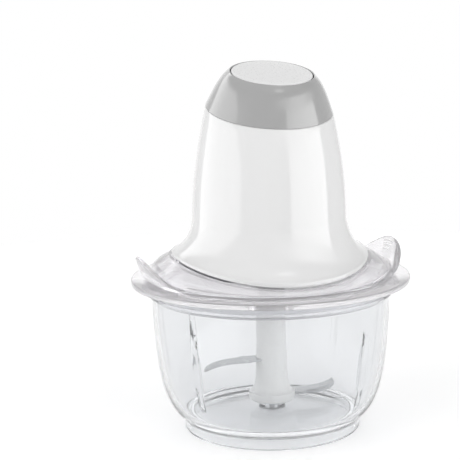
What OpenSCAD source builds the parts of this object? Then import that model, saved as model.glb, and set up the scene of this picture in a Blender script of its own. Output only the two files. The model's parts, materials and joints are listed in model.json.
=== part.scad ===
// Mini food chopper: a clear bowl with a two-level blade, a clear lid with two finger wings,
// and a bell-shaped motor unit that is worked by a large button on its slanted top.
// Millimetres, +Z up, origin on the table under the middle of the bowl, front towards -Y.

/* [Bowl] */
// Outer radius of the bowl near its mouth
bowl_r = 64; // [61:0.5:67]
// Height of the rim above the table
bowl_h = 80; // [76:0.5:90]
// Wall of the bowl
bowl_wall = 2.6; // [2.2:0.1:3]
// Floor of the bowl
floor_t = 2.6; // [2:0.1:3.5]
// Outer radius of the foot ring
foot_r = 48.2; // [45:0.2:50]
// Height of the foot ring
foot_h = 6.4; // [5:0.2:8]
// Width of the foot ring
foot_w = 4.2; // [3:0.2:6]
// How far the rim stands out from the wall
rim_lip = 2.3; // [1.5:0.1:3]
// Height of the rim
rim_h = 5.2; // [4:0.2:7]
// Ribs inside the bowl
rib_count = 4; // [2:1:6]
// Width of a rib
rib_w = 3.2; // [2:0.2:5]
// Reach of a rib in from the wall at its middle
rib_depth = 2.6; // [2:0.2:4]
// Height of a rib
rib_h = 42; // [30:1:44]
// Height of a rib's lower end above the floor
rib_up = 10; // [7:0.5:12]
// Angle of the first rib, counted from the right
rib_turn = -59; // [-90:1:0]

/* [Blade unit] */
// Radius of the spindle pin in the bowl floor
pin_r = 3; // [2.5:0.1:3.5]
// Height of the spindle pin above the floor
pin_h = 31; // [26:0.5:36]
// Height of the boss round the pin
boss_h = 4; // [3:0.5:6]
// Radius of the hub's stem
hub_r = 8; // [7.6:0.1:8.6]
// Radius of the hub's base
hub_base_r = 12.5; // [11:0.5:14]
// Reach of the blades from the axis
blade_reach = 44; // [38:0.5:45]
// Thickness of the blades
blade_t = 1.2; // [0.8:0.1:1.6]
// Height of the lower blade above the hub's base
lower_blade_h = 2.4; // [2:0.1:4]
// Height of the upper blade above the hub's base
upper_blade_h = 23; // [18:0.5:26]

/* [Lid] */
// Radius of the flange
flange_r = 75; // [72:0.5:78]
// Thickness of the flange
flange_t = 3; // [2.4:0.1:3.6]
// Wall of the raised parts of the lid
lid_wall = 2.4; // [2:0.1:2.8]
// Depth of the plug ring that sits in the bowl
plug_h = 8; // [7:0.5:10]
// Radius of the raised collar at the flange
collar_r = 65.6; // [64.5:0.1:66.5]
// Radius of the collar's upper edge
seat_r = 54.4; // [54:0.1:55]
// Radius of a finger wing's tip
wing_r = 73.4; // [71:0.2:74.5]
// Height of a finger wing above the flange
wing_h = 14.9; // [12:0.2:16]
// Half of the turn that a finger wing takes up, degrees
wing_turn = 30; // [22:1:36]
// Thickness of a finger wing
wing_t = 2.2; // [1.8:0.1:2.6]

/* [Motor unit] */
// Radius of the skirt's lower edge
skirt_r = 52.8; // [52.2:0.1:53.4]
// Height of the skirt's edge above the flange, at the sides and back
skirt_lift = 13.5; // [12.8:0.1:15.5]
// How far the skirt's edge dips at the front
skirt_dip = 10.7; // [7:0.1:11]
// Radius of the waist above the flare
waist_r = 41.4; // [40.8:0.1:42]
// Height of the waist above the skirt's edge
waist_h = 17.8; // [16:0.1:19.5]
// Radius of the neck under the grey collar
neck_r = 33.8; // [33.4:0.1:34.6]
// Height of the neck above the skirt's edge
neck_h = 75.7; // [75:0.1:81]
// Wall of the housing
shell_wall = 2.4; // [2:0.1:2.6]
// Slant of the top towards the front, degrees
slant = 14.6; // [8:0.2:17]
// How far the neck leans to the front
neck_lean = 3.2; // [0:0.1:4]
// Height of the base cover's underside above the flange
unit_lift = 4.8; // [4.4:0.1:5.4]
// Radius of the base cover
base_r = 49; // [48:0.1:49.3]
// Thickness of the base cover
base_t = 2.6; // [2.2:0.1:3]

/* [Button] */
// Radius of the button
button_r = 21.4; // [20.6:0.1:21.8]
// Height of the grey collar along its slanted axis
collar_h = 19.6; // [19:0.1:21]
// Wall of the grey collar
collar_wall = 2.2; // [1.8:0.1:2.4]
// Travel of the button
button_travel = 3; // [2:0.1:3.2]
// Crown of the button's top
button_crown = 1.2; // [0.4:0.1:2]
// Mean radius of the button spring
spring_r = 16.2; // [15.6:0.1:17]
// Wire of the button spring
spring_wire = 1.2; // [0.8:0.1:1.4]

/* [Drive] */
// Distance of the planet gears from the axis
planet_orbit = 15; // [14.7:0.1:15.3]
// Width of the gears
gear_w = 7; // [6:0.2:7.6]
// Radius of the rotor shaft
shaft_r = 2.5; // [2.2:0.1:2.8]
// Radius of the output shaft
output_r = 4.5; // [4.2:0.1:4.8]
// Circumscribed radius of the hexagonal drive coupling
hex_r = 5; // [4.6:0.1:5.2]
// Length of the drive coupling below the base cover's neck
hex_h = 10; // [8:0.5:12]
// Radius of the armature
armature_r = 16.8; // [15.5:0.1:17]
// Outer radius of the stator
stator_r = 33; // [32:0.2:34]
// Radius of the cooling fan
fan_r = 22; // [19:0.5:22.4]
// Radius of the commutator
commutator_r = 9; // [8:0.1:9.6]
// Bore of the cord gland
gland_bore = 3.3; // [2.8:0.1:3.6]

/* [Clearances] */
// Gap between pieces that move past each other
gap = 0.3; // [0.25:0.01:0.4]
// Radial gap of a running shaft
run_gap = 0.05; // [0.04:0.01:0.08]
// Radial gap of a pressed or slid seat
seat_gap = 0.02; // [0.01:0.01:0.05]
// Seam between the skirt and the lid's collar
seam = 0.8; // [0.5:0.1:1.2]

/* [Hidden] */
$fn = 96;

// Details that many pieces share: how far a cut runs past a face, the chamfer of a moulded edge,
// the gap round a screw's shank, and the points round a ring of the shells
over = 1;
edge = 0.6;
screw_gap = 0.2;
ring_points = 64;

// Heights of the bowl and the lid
rim_slope = 1.5;
straight_wall = 8;
z_floor = foot_h + floor_t;
z_pin = foot_h + floor_t / 2;
z_wall_top = bowl_h - rim_h - rim_slope;
z_curve_top = z_wall_top - straight_wall;
mouth_r = bowl_r - bowl_wall;
z_flange = bowl_h + gap;
z_deck = z_flange + flange_t;
z_lid_root = z_deck - flange_t / 2;
plug_r = mouth_r - 2 * gap;

// Heights of the blade unit
z_boss = z_floor + boss_h;
z_hub = z_boss + gap;
z_pin_top = z_floor + pin_h;
z_lower_blade = z_hub + lower_blade_h;
z_upper_blade = z_hub + upper_blade_h;
bore_r = pin_r + run_gap;

// Heights of the motor unit
z_skirt = z_deck + skirt_lift;
z_waist = z_skirt + waist_h;
z_neck = z_skirt + neck_h;
z_unit = z_deck + unit_lift;
z_base = z_unit + base_t;

// Neck of the base cover, with the output bearing and the shaft seal in it
base_neck_wall = 1.6;
base_neck_h = 4.4;
bearing_wall = 2.2;
seal_h = 1;
output_bearing_r = output_r + run_gap + bearing_wall;
base_neck_r = output_bearing_r + seat_gap + base_neck_wall;
z_base_neck = z_unit - base_neck_h;

// Drive coupling in the hub
hub_margin = 1;
coupling_gap = 0.45;
coupling_floor = 1.5;
spigot_r = output_r - 2;
lid_hole_r = max(base_neck_r, hub_r) + hub_margin;
z_hub_top = z_base_neck - 2 * gap;
z_coupling = z_hub_top - hex_h;

// Gearbox stack
sun_teeth = 12;
planet_teeth = 18;
ring_teeth = 48;
planet_count = 3;
planet_angles = [for (k = [0:planet_count - 1]) 360 * k / planet_count];
gear_module = 2 * planet_orbit / (sun_teeth + planet_teeth);
addendum = 0.8 * gear_module;
dedendum = 1.15 * gear_module;
backlash = 0.1;
pressure_angle = 25;
planet_pin_r = 2.4;
pin_floor = 0.6;
washer_t = 0.5;
washer_rim = 3;
carrier_t = 3;
carrier_rim = 6;
carrier_r = planet_orbit + carrier_rim;
z_carrier = z_base + washer_t + gap;
z_gear = z_carrier + carrier_t + gap;
z_gear_top = z_gear + gear_w;
gear_headroom = 1;
z_cover = z_gear_top + gear_headroom;
case_wall = 2.9;
case_r = gear_module * ring_teeth / 2 + dedendum + case_wall;
ear_r = 4;
ear_reach = 3.5;
ear_orbit = case_r + ear_reach;
ear_angles = [45, 135, 225, 315];
cover_t = 3;

// Motor stack
rotor_bearing_wall = 4;
rotor_bearing_h = 5;
rotor_bearing_r = shaft_r + run_gap + rotor_bearing_wall;
bearing_boss_r = rotor_bearing_r + 2.4;
shaft_hole_r = shaft_r + 0.6;
fan_lift = 2;
fan_h = 5.4;
fan_gap = 1.4;
end_turn_h = 5;
z_cover_top = z_cover + cover_t;
z_fan = z_cover_top + rotor_bearing_h + fan_lift;
commutator_lift = 0.8;
commutator_h = 7.6;
bracket_lift = 1;
bracket_t = 6;
bracket_room = 5.5;
z_bracket_top = z_neck - bracket_room;
z_bracket = z_bracket_top - bracket_t;
z_commutator = z_bracket - bracket_lift - commutator_h;
z_core = z_fan + fan_h + fan_gap + end_turn_h;
z_core_top = z_commutator - commutator_lift - end_turn_h;
stack_h = z_core_top - z_core;
bolt_angles = [0, 180];
bolt_orbit = 27.5;
bolt_r = 2;
bolt_hole_r = bolt_r + 0.15;
bolt_depth = 10;
post_r = 4;
screw_r = 1.5;
screw_head_r = 3;
screw_head_h = 2;
air_gap = 0.7;
coil_inset = 1.2;
coil_t = 5.8;
coil_w = 8;
coil_in = armature_r + air_gap + coil_inset;
coil_out = coil_in + coil_t;
brush_angles = [90, 270];
brush_w = 5;
brush_h = 6;
brush_len = 8.6;
brush_room = 7;
brush_gap = 0.15;
holder_wall = 1.6;
brush_start = commutator_r + brush_gap;
holder_end = brush_start + brush_len + brush_room;
z_brush = z_commutator + commutator_h / 2;

// Bosses that join the base cover and the housing
joint_orbit = 36;
joint_r = 4;
joint_angles = [90, 210, 330];
joint_drop = 10;
joint_boss_h = 14;
head_recess = screw_head_h + gap;
z_joint = z_waist - joint_drop;

// Slanted top, measured along the button's axis from the neck
hole_r = button_r + 0.5;
button_z = collar_h + gap;
button_wall = 2;
button_roof = 2.4;
roof_z = button_z - button_roof;
guide_z = 9.5;
guide_t = 2;
lip_h = 1.6;
lip_reach = 1.8;
lip_z = guide_z - gap - lip_h;
ledge_w = 4.8;
ledge_z = 0.5;
ledge_drop = 1.5;
spigot_drop = 2.4;
spigot_t = 1.7;
ledge_r = neck_r - shell_wall - ledge_w;
spigot_out = neck_r - shell_wall - gap;
plate_gap = 0.1;
plate_t = 2;
plate_inset = 1.6;
plate_z = ledge_z + plate_gap;
plate_top = plate_z + plate_t;
plate_screw_r = 0.9;
plate_screw_angles = [30, 150, 270];
plate_screw_orbit = ledge_r + 1.4;
switch_l = 12.8;
switch_w = 5.8;
switch_h = 6.5;
lever_t = 0.4;
lever_barrel_r = 0.8;
lever_arm = 12;
lever_over = 2;
lever_lift = 0.35;
lever_z = plate_top + switch_h + lever_lift;
lever_slope = asin(button_travel / lever_arm);
plunger_r = 1.5;
plunger_gap = 0.2;
plunger_z = lever_z + (lever_arm + plunger_r) * tan(lever_slope) + lever_t + plunger_gap;
plunger_boss_r = 4.5;
plunger_boss_h = 3;

// Cord gland at the back
gland_lift = 20;
gland_wall = 1.6;
gland_inner = 3;
gland_outer = 3;
gland_rim = 1.8;
gland_rim_t = 2.8;
gland_z = z_waist + gland_lift;
gland_r = gland_bore + gland_wall;
gland_start = waist_r - shell_wall - gland_inner;
gland_len = gland_inner + shell_wall + gland_outer;

// Points on a cubic curve from the first to the last of four points
function curve_point(p, t) =
  pow(1 - t, 3) * p[0] + 3 * pow(1 - t, 2) * t * p[1] + 3 * (1 - t) * t * t * p[2] + pow(t, 3) * p[3];
function curve(p, n = 10) = [for (i = [0:n]) curve_point(p, i / n)];
function curve_heading(p, t) =
  let (d = curve_point(p, min(t + 0.01, 1)) - curve_point(p, max(t - 0.01, 0))) d / norm(d);
// The same curve set off to its left by d
function curve_beside(p, d, n = 10) =
  [for (i = [0:n]) let (h = curve_heading(p, i / n)) curve_point(p, i / n) + d * [-h[1], h[0]]];
function reversed(list) = [for (i = [len(list) - 1:-1:0]) list[i]];
function smooth(t) = let (c = min(max(t, 0), 1)) c * c * (3 - 2 * c);

// Dip of the skirt's edge and of the lid's collar below their height at the sides
dip_end = 16;
dip_power = 1.7;
function edge_dip(y) = skirt_dip * pow(max(0, (dip_end - y) / (dip_end + skirt_r)), dip_power);

// A closed shell through rings of points, joined one after another and the last to the first
module ring_shell(rings) {
  n = len(rings[0]);
  m = len(rings);
  polyhedron(
    points = [for (ring = rings) each ring],
    faces = [
      for (j = [0:m - 1])
        for (i = [0:n - 1])
          let (a = j * n + i, b = j * n + (i + 1) % n, next = ((j + 1) % m) * n)
            each [[a, next + i, b], [b, next + i, next + (i + 1) % n]]
    ]
  );
}

// A coil spring along Z: one unbroken wire with flat ends
module coil(radius, wire, height, turns, steps, sides) {
  rise = height - wire;
  points = [
    for (k = [0:steps])
      for (i = [0:sides - 1])
        let (a = 360 * turns * k / steps, b = 360 * i / sides, r = radius + wire / 2 * cos(b))
          [r * cos(a), r * sin(a), wire / 2 + rise * k / steps + wire / 2 * sin(b)]
  ];
  sides_faces = [
    for (k = [0:steps - 1])
      for (i = [0:sides - 1])
        let (a = k * sides + i, b = k * sides + (i + 1) % sides)
          each [[a, a + sides, b], [b, a + sides, b + sides]]
  ];
  first_cap = [for (i = [1:sides - 2]) [0, i, i + 1]];
  last = steps * sides;
  last_cap = [for (i = [1:sides - 2]) [last, last + i + 1, last + i]];
  polyhedron(points = points, faces = concat(sides_faces, first_cap, last_cap));
}

// Outline of a gear with straight roots and curved flanks
function involute(r, base) = r <= base ? 0 : sqrt(pow(r / base, 2) - 1) * 180 / PI - acos(base / r);
function gear_outline(teeth, add, ded, thin) =
  let (
    pitch = gear_module * teeth / 2,
    base = pitch * cos(pressure_angle),
    half = 90 / teeth - thin / pitch * 90 / PI,
    low = pitch - ded,
    high = pitch + add,
    radii = [low, max(low, base) + 0.05, pitch - 0.1, pitch + add / 2, high]
  )
  [
    for (k = [0:teeth - 1])
      for (side = [-1, 1])
        for (i = [0:4])
          let (
            r = radii[side < 0 ? i : 4 - i],
            a = 360 * k / teeth + side * (half + involute(pitch, base) - involute(r, base))
          )
          [r * cos(a), r * sin(a)]
  ];

module tube(outer, inner, h) {
  difference() {
    cylinder(r = outer, h = h);
    translate([0, 0, -over]) cylinder(r = inner, h = h + 2 * over);
  }
}

// Places children at each of the angles round the axis
module around(angles, orbit) {
  for (a = angles) {
    rotate(a) translate([orbit, 0, 0]) children();
  }
}

// The slanted frame of the grey collar and the button
module top_frame() {
  translate([0, -neck_lean, z_neck]) rotate([slant, 0, 0]) children();
}

// Bowl and its pin

foot_round = 1.2;
foot_join = foot_r - foot_round;
heel_in = 6.5;
heel_up = 3.5;
belly_in = 1.5;
belly_up = 21.5;
outer_curve = [
  [foot_join, foot_h],
  [bowl_r - heel_in, foot_h + heel_up],
  [bowl_r - belly_in, foot_h + belly_up],
  [bowl_r, z_curve_top]
];
inner_curve = [
  [foot_join - bowl_wall, z_floor],
  [bowl_r - heel_in - bowl_wall, z_floor + heel_up - floor_t / 2],
  [bowl_r - belly_in - bowl_wall, z_floor + belly_up - floor_t / 2],
  [mouth_r, z_curve_top]
];
foot_in = foot_r - foot_w;
rim_r = bowl_r + rim_lip;

module bowl_body() {
  rotate_extrude()
    polygon(concat(
      [[0, foot_h], [foot_in, foot_h], [foot_in, edge], [foot_in + edge, 0]],
      [[foot_join, 0], [foot_r - edge / 2, edge], [foot_r, foot_round]],
      [[foot_r - edge / 2, foot_h - foot_round]],
      curve(outer_curve, 12),
      [[bowl_r, z_wall_top], [rim_r - edge, bowl_h - rim_h], [rim_r, bowl_h - rim_h + edge]],
      [[rim_r, bowl_h - edge], [rim_r - edge, bowl_h], [mouth_r + edge, bowl_h], [mouth_r, bowl_h - edge]],
      reversed(curve(inner_curve, 12)),
      [[0, z_floor]]
    ));
}

// Radius of the bowl's inside at a height
inner_radii = [for (p = curve(inner_curve, 24)) [p[1], p[0]]];
function inner_r(z) = lookup(z, inner_radii);

// A rib swells in from the wall like a crescent, and both its ends run out into the wall
module rib() {
  sink = 0.4;
  steps = 14;
  z_low = z_floor + rib_up;
  rotate([90, 0, 0]) translate([0, 0, -rib_w / 2]) linear_extrude(rib_w)
    polygon(concat(
      [for (i = [0:steps]) let (u = i / steps, z = z_low + rib_h * u)
        [inner_r(z) + sink - (rib_depth + sink) * 4 * u * (1 - u), z]],
      [[mouth_r + bowl_wall / 2, z_low + rib_h], [mouth_r + bowl_wall / 2, z_low]]
    ));
}

module ribs() {
  mid_wall = curve_beside(outer_curve, bowl_wall / 2, 12);
  intersection() {
    for (i = [0:rib_count - 1]) {
      rotate(rib_turn + 360 * i / rib_count) rib();
    }
    rotate_extrude() polygon(concat([[0, z_pin]], mid_wall, [[0, z_curve_top]]));
  }
}

module bowl() {
  boss_wall = 4;
  color("lightcyan", 0.4) difference() {
    union() {
      bowl_body();
      ribs();
      translate([0, 0, z_pin]) cylinder(r = pin_r + boss_wall, h = z_boss - z_pin);
    }
    translate([0, 0, z_pin]) cylinder(r = pin_r + seat_gap, h = bowl_h);
  }
}

module spindle_pin() {
  tip = 1;
  shank = z_pin_top - z_pin - tip;
  color("silver") translate([0, 0, z_pin]) {
    cylinder(r = pin_r, h = shank);
    translate([0, 0, shank]) cylinder(r1 = pin_r, r2 = pin_r - tip, h = tip);
  }
}

// Blade unit

tang_w = 9;
tang_wall = 1;
tang_in = bore_r + tang_wall;
hub_rim_h = 2.4;
hub_swell = 0.4;
hub_bevel = 1;
hub_foot_up = 2;
hub_foot_h = 5.6;
stem_swell_h = 4;
stem_start = 6;
z_hub_rim = z_lower_blade + hub_rim_h;
hub_curve = [
  [hub_base_r, z_hub_rim],
  [hub_r + 2.5 * hub_swell, z_hub_rim + hub_foot_up],
  [hub_r + 1.5 * hub_swell, z_hub_rim + hub_foot_h],
  [hub_r + hub_swell, z_upper_blade + stem_swell_h]
];

module hub_slot(z, angle) {
  rotate(angle)
    translate([tang_in - seat_gap, -tang_w / 2 - seat_gap, z - seat_gap])
      cube([hub_base_r, tang_w + 2 * seat_gap, blade_t + 2 * seat_gap]);
}

module blade_hub() {
  color("whitesmoke") difference() {
    rotate_extrude()
      polygon(concat(
        [[0, z_hub], [hub_base_r - hub_bevel, z_hub], [hub_base_r, z_hub + hub_bevel]],
        curve(hub_curve, 8),
        [[hub_r, z_upper_blade + stem_start], [hub_r, z_hub_top - hub_bevel]],
        [[hub_r - hub_bevel, z_hub_top], [0, z_hub_top]]
      ));
    translate([0, 0, z_hub - over]) cylinder(r = bore_r, h = z_pin_top + gap - z_hub + over);
    translate([0, 0, z_coupling - 2 * gap])
      cylinder(r = hex_r + coupling_gap, h = hex_h + 2 * gap + over, $fn = 6);
    hub_slot(z_lower_blade, 0);
    hub_slot(z_upper_blade, 180);
  }
}

// A blade sweeps back from its tang to a trailing tip
blade_root = tang_w / 2 + 1;
blade_start = hub_base_r + 1;
blade_neck = 0.5;
blade_sweep = 12;
blade_belly = 4;
tip_back = 7;
tip_w = 1;
tip_y = blade_root + tip_back;
blade_front = [
  [blade_start, -blade_root],
  [blade_start + blade_sweep, -blade_root - blade_belly],
  [blade_reach - blade_sweep / 2, tip_w - blade_root],
  [blade_reach - 2 * tip_w, tip_y]
];
blade_back = [
  [blade_reach - 3 * tip_w, tip_y],
  [blade_reach - blade_sweep, blade_root - tip_w],
  [blade_start + blade_sweep, blade_root - 3 * tip_w],
  [blade_start, blade_root]
];

module blade() {
  linear_extrude(blade_t)
    polygon(concat(
      [[tang_in, -tang_w / 2], [blade_start - blade_neck, -tang_w / 2]],
      curve(blade_front, 12),
      curve(blade_back, 12),
      [[blade_start - blade_neck, tang_w / 2], [tang_in, tang_w / 2]]
    ));
}

module lower_blade() {
  color("silver") translate([0, 0, z_lower_blade]) blade();
}

module upper_blade() {
  color("silver") translate([0, 0, z_upper_blade]) rotate(180) blade();
}

// Lid

groove_h = 2.6;
groove_drop = 5.2;
groove_d = 1.2;
groove_z = z_flange - groove_drop;
groove_r = plug_r - groove_d;
shoulder_in = 3;
shoulder_drop = 5.2;
shoulder_r = collar_r - shoulder_in;
seat_wall = 1.7;

// Share of a finger wing at an angle: all of it in its middle, none beyond its half turn
lid_points = 128;
out_round = 0.45;
up_round = 0.8;
function wing_share(a) =
  let (off = min(a % 180, 180 - a % 180)) off < wing_turn ? (1 + cos(180 * off / wing_turn)) / 2 : 0;

// A ring of the raised collar: it dips at the front with the skirt and swells out and up into the wings
function collar_ring(r, z, dip = 0, wing_out = 0, wing_up = 0) =
  [for (i = [0:lid_points - 1])
    let (
      a = 360 * i / lid_points,
      w = r + wing_out * pow(wing_share(a), out_round),
      rise = wing_up * pow(wing_share(a), up_round)
    )
    [w * cos(a), w * sin(a), z - dip * edge_dip(skirt_r * sin(a)) + rise]];

// The outside runs up under the wings, round their tips and over the shoulder to the seat of the skirt
module lid_collar() {
  top = z_skirt - seam;
  reach = wing_r - collar_r;
  tip_in = reach - wing_t;
  tip_mid = reach - (wing_t - edge) / 2;
  tip_up = wing_h - wing_t / 2;
  root_out = 1.5;
  back_in = 1.7;
  fold_r = shoulder_r + 1.1;
  fold_up = 1.8;
  fold_rise = wing_h / 2 - 1.6;
  step_r = shoulder_r + 0.7;
  step_up = 3;
  fold_dip = 0.06;
  step_dip = 0.17;
  shoulder_dip = 0.58;
  under_dip = 0.6;
  seat_dip = 0.98;
  ring_shell([
    collar_ring(collar_r, z_lid_root),
    collar_ring(collar_r, z_deck - edge, 0, root_out, edge),
    collar_ring(collar_r, z_deck, 0, reach / 2, wing_h / 5),
    collar_ring(collar_r, z_deck + edge / 2, 0, reach - back_in, wing_h / 2),
    collar_ring(collar_r, z_deck + edge, 0, reach, tip_up - edge),
    collar_ring(collar_r - edge / 2, z_deck + 1.5 * edge, 0, tip_mid, wing_h - 1.5 * edge),
    collar_ring(collar_r - edge, z_deck + 2 * edge, 0, tip_in + edge, tip_up - 2 * edge),
    collar_ring(fold_r, z_deck + fold_up, fold_dip, tip_in - 1, fold_rise),
    collar_ring(step_r, z_deck + step_up, step_dip, reach / 2 - 1, 1),
    collar_ring(shoulder_r, top - shoulder_drop, shoulder_dip),
    collar_ring(seat_r + edge, top - edge, seat_dip),
    collar_ring(seat_r, top, 1),
    collar_ring(seat_r - seat_wall, top, 1),
    collar_ring(shoulder_r - lid_wall, top - shoulder_drop - edge, under_dip),
    collar_ring(collar_r - edge - lid_wall, z_deck + edge),
    collar_ring(collar_r - lid_wall, z_lid_root)
  ]);
}

module lid_plate() {
  hole_wall = 2.4;
  rotate_extrude()
    polygon([
      [lid_hole_r, z_flange], [flange_r - edge, z_flange], [flange_r, z_flange + edge],
      [flange_r, z_deck - edge], [flange_r - edge, z_deck], [lid_hole_r + hole_wall, z_deck],
      [lid_hole_r + hole_wall, z_unit - gap], [lid_hole_r, z_unit - gap]
    ]);
}

module lid_plug() {
  plug_in = plug_r - lid_wall;
  rotate_extrude()
    polygon([
      [plug_in, z_flange - plug_h], [plug_r - edge, z_flange - plug_h],
      [plug_r, z_flange - plug_h + edge], [plug_r, groove_z], [groove_r, groove_z],
      [groove_r, groove_z + groove_h], [plug_r, groove_z + groove_h],
      [plug_r, z_lid_root], [plug_in, z_lid_root]
    ]);
}

module lid() {
  color("lavender", 0.4) {
    lid_plate();
    lid_plug();
    lid_collar();
  }
}

module lid_seal() {
  seal_lip = 0.2;
  seal_bevel = 0.4;
  color("gainsboro") rotate_extrude()
    polygon([
      [groove_r + seat_gap, groove_z + seat_gap], [plug_r + seal_lip, groove_z + seal_bevel],
      [mouth_r - seal_lip, groove_z + groove_h / 2], [plug_r + seal_lip, groove_z + groove_h - seal_bevel],
      [groove_r + seat_gap, groove_z + groove_h - seat_gap]
    ]);
}

// Motor unit: housing, collar and base

// One ring of the housing: it tilts towards the slanted neck and follows the dip near the edge
function housing_ring(r, z, share) =
  let (
    up = smooth((z - z_waist) / (z_neck - z_waist)),
    tilt = slant * up,
    lean = neck_lean * up
  )
  [for (i = [0:ring_points - 1]) let (a = 360 * i / ring_points)
    [
      r * cos(a),
      r * sin(a) * cos(tilt) - lean,
      z + r * sin(a) * sin(tilt) - share * edge_dip(skirt_r * sin(a))
    ]];

brim_h = 1.4;
brim_in = 1;
flare_out = 5.4;
flare_up = 1.9;
waist_swell = 0.4;
waist_drop = 7.9;
wall_reach = 19;
neck_swell = 4.4;
flare_curve = [
  [skirt_r - brim_in, z_skirt + brim_h],
  [waist_r + flare_out, z_skirt + brim_h + flare_up],
  [waist_r + waist_swell, z_waist - waist_drop],
  [waist_r, z_waist]
];
wall_curve = [
  [waist_r, z_waist],
  [waist_r - gap, z_waist + wall_reach],
  [neck_r + neck_swell, z_neck - wall_reach],
  [neck_r, z_neck]
];

// Share of the dip that a ring of the flare follows, from all at the edge to none near the waist
dip_margin = 4;
dip_fade = 1.4;
function flare_share(z) =
  let (top = z_waist - dip_margin) pow(max(0, (top - z) / (top - z_skirt)), dip_fade);

module housing_shell() {
  flare = curve(flare_curve, 7);
  wall = curve(wall_curve, 8);
  inner_flare = reversed(flare);
  inner_wall = reversed(curve(wall_curve, 4));
  outside = concat(
    [housing_ring(skirt_r, z_skirt, 1), housing_ring(skirt_r - brim_in / 4, z_skirt + brim_h / 2, 0.9)],
    [for (p = flare) housing_ring(p[0], p[1], flare_share(p[1]))],
    [for (i = [1:len(wall) - 1]) housing_ring(wall[i][0], wall[i][1], 0)]
  );
  inside = concat(
    [for (p = inner_wall) housing_ring(p[0] - shell_wall, p[1], 0)],
    [for (i = [1:len(inner_flare) - 1]) let (p = inner_flare[i])
      housing_ring(p[0] - shell_wall, p[1], flare_share(p[1]))],
    [housing_ring(skirt_r - shell_wall, z_skirt, 1)]
  );
  ring_shell(concat(outside, inside));
}

module housing_bosses() {
  intersection() {
    around(joint_angles, joint_orbit)
      translate([0, 0, z_joint]) cylinder(r = joint_r, h = joint_boss_h);
    cylinder(r = waist_r - shell_wall / 2, h = z_neck);
  }
}

module motor_housing() {
  color("white") difference() {
    union() {
      housing_shell();
      housing_bosses();
    }
    around(joint_angles, joint_orbit)
      translate([0, 0, z_joint - over]) cylinder(r = screw_r + seat_gap, h = joint_boss_h);
    translate([0, gland_start - over, gland_z])
      rotate([-90, 0, 0]) cylinder(r = gland_r + seat_gap, h = gland_len + 2 * over);
  }
}

// Everything above the skirt's edge, seen from the side, raised by up
module above_edge(up) {
  reach = flange_r;
  steps = 24;
  dip_from = -skirt_r;
  rotate([90, 0, 90]) translate([0, 0, -reach]) linear_extrude(2 * reach)
    polygon(concat(
      [[reach, z_waist], [-reach, z_waist], [-reach, z_skirt + up - edge_dip(dip_from)]],
      [for (i = [1:steps]) let (y = dip_from + (dip_end - dip_from) * i / steps)
        [y, z_skirt + up - edge_dip(y)]],
      [[reach, z_skirt + up]]
    ));
}

// The base cover is a tray whose rim follows the skirt's edge from inside
module base_cover() {
  rim_up = 0.8;
  screw_floor = 0.6;
  color("gainsboro") difference() {
    union() {
      difference() {
        translate([0, 0, z_unit]) cylinder(r = base_r, h = z_skirt + 2 * rim_up - z_unit);
        translate([0, 0, z_base]) cylinder(r = base_r - shell_wall, h = z_waist);
        above_edge(rim_up);
      }
      translate([0, 0, z_base_neck]) cylinder(r = base_neck_r, h = base_neck_h + base_t / 2);
      around(joint_angles, joint_orbit)
        translate([0, 0, z_base - base_t / 2]) cylinder(r = joint_r, h = z_joint - z_base + base_t / 2);
    }
    translate([0, 0, z_base_neck - over])
      cylinder(r = output_bearing_r + seat_gap, h = base_neck_h + base_t + 2 * over);
    around(joint_angles, joint_orbit) translate([0, 0, z_unit - over]) {
      cylinder(r = screw_r + screw_gap, h = z_joint - z_unit + 2 * over);
      cylinder(r = screw_head_r + gap, h = head_recess + over);
    }
    around(ear_angles, ear_orbit)
      translate([0, 0, z_unit + screw_floor]) cylinder(r = screw_r + seat_gap, h = base_t);
  }
}

// A screw stands on its tip, with a cross slot in its head
module screw(length) {
  slot_w = 0.8;
  slot_z = length + screw_head_h - slot_w;
  cylinder(r = screw_r, h = length + screw_head_h / 4);
  difference() {
    translate([0, 0, length]) cylinder(r = screw_head_r, h = screw_head_h);
    translate([-screw_head_r, -slot_w / 2, slot_z]) cube([2 * screw_head_r, slot_w, slot_w + over]);
    translate([-slot_w / 2, -screw_head_r, slot_z]) cube([slot_w, 2 * screw_head_r, slot_w + over]);
  }
}

module base_screws() {
  tip_room = 4;
  z_tip = z_joint + joint_boss_h - tip_room;
  color("dimgray") around(joint_angles, joint_orbit)
    translate([0, 0, z_tip]) rotate([180, 0, 0]) screw(z_tip - z_unit - head_recess);
}

collar_lean = 3.6;
collar_rise = 8.4;
crown_out = 5.5;
crown_drop = 3.5;
crown_edge = 0.2;
collar_curve = [
  [neck_r, seat_gap],
  [neck_r - collar_lean, collar_rise],
  [hole_r + crown_out, collar_h - crown_drop],
  [hole_r + crown_edge, collar_h]
];

// The grey collar holds the button's guide above and the switch plate's ledge below
module top_collar() {
  guide_drop = 3.9;
  inside = curve_beside(collar_curve, collar_wall, 14);
  color("darkgray") top_frame() difference() {
    rotate_extrude()
      polygon(concat(
        curve(collar_curve, 14),
        [[hole_r, collar_h], [hole_r, guide_z], [hole_r + guide_t, guide_z]],
        [[hole_r + guide_t, collar_h - guide_drop]],
        [for (i = [10:-1:1]) inside[i]],
        [[spigot_out, ledge_z], [ledge_r, ledge_z], [ledge_r, -ledge_drop]],
        [[spigot_out - spigot_t, -ledge_drop], [spigot_out - spigot_t, -spigot_drop]],
        [[spigot_out, -spigot_drop], [spigot_out, seat_gap]]
      ));
    around(plate_screw_angles, plate_screw_orbit)
      translate([0, 0, -ledge_drop - over])
        cylinder(r = plate_screw_r + seat_gap, h = ledge_z + ledge_drop + 2 * over);
  }
}

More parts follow.
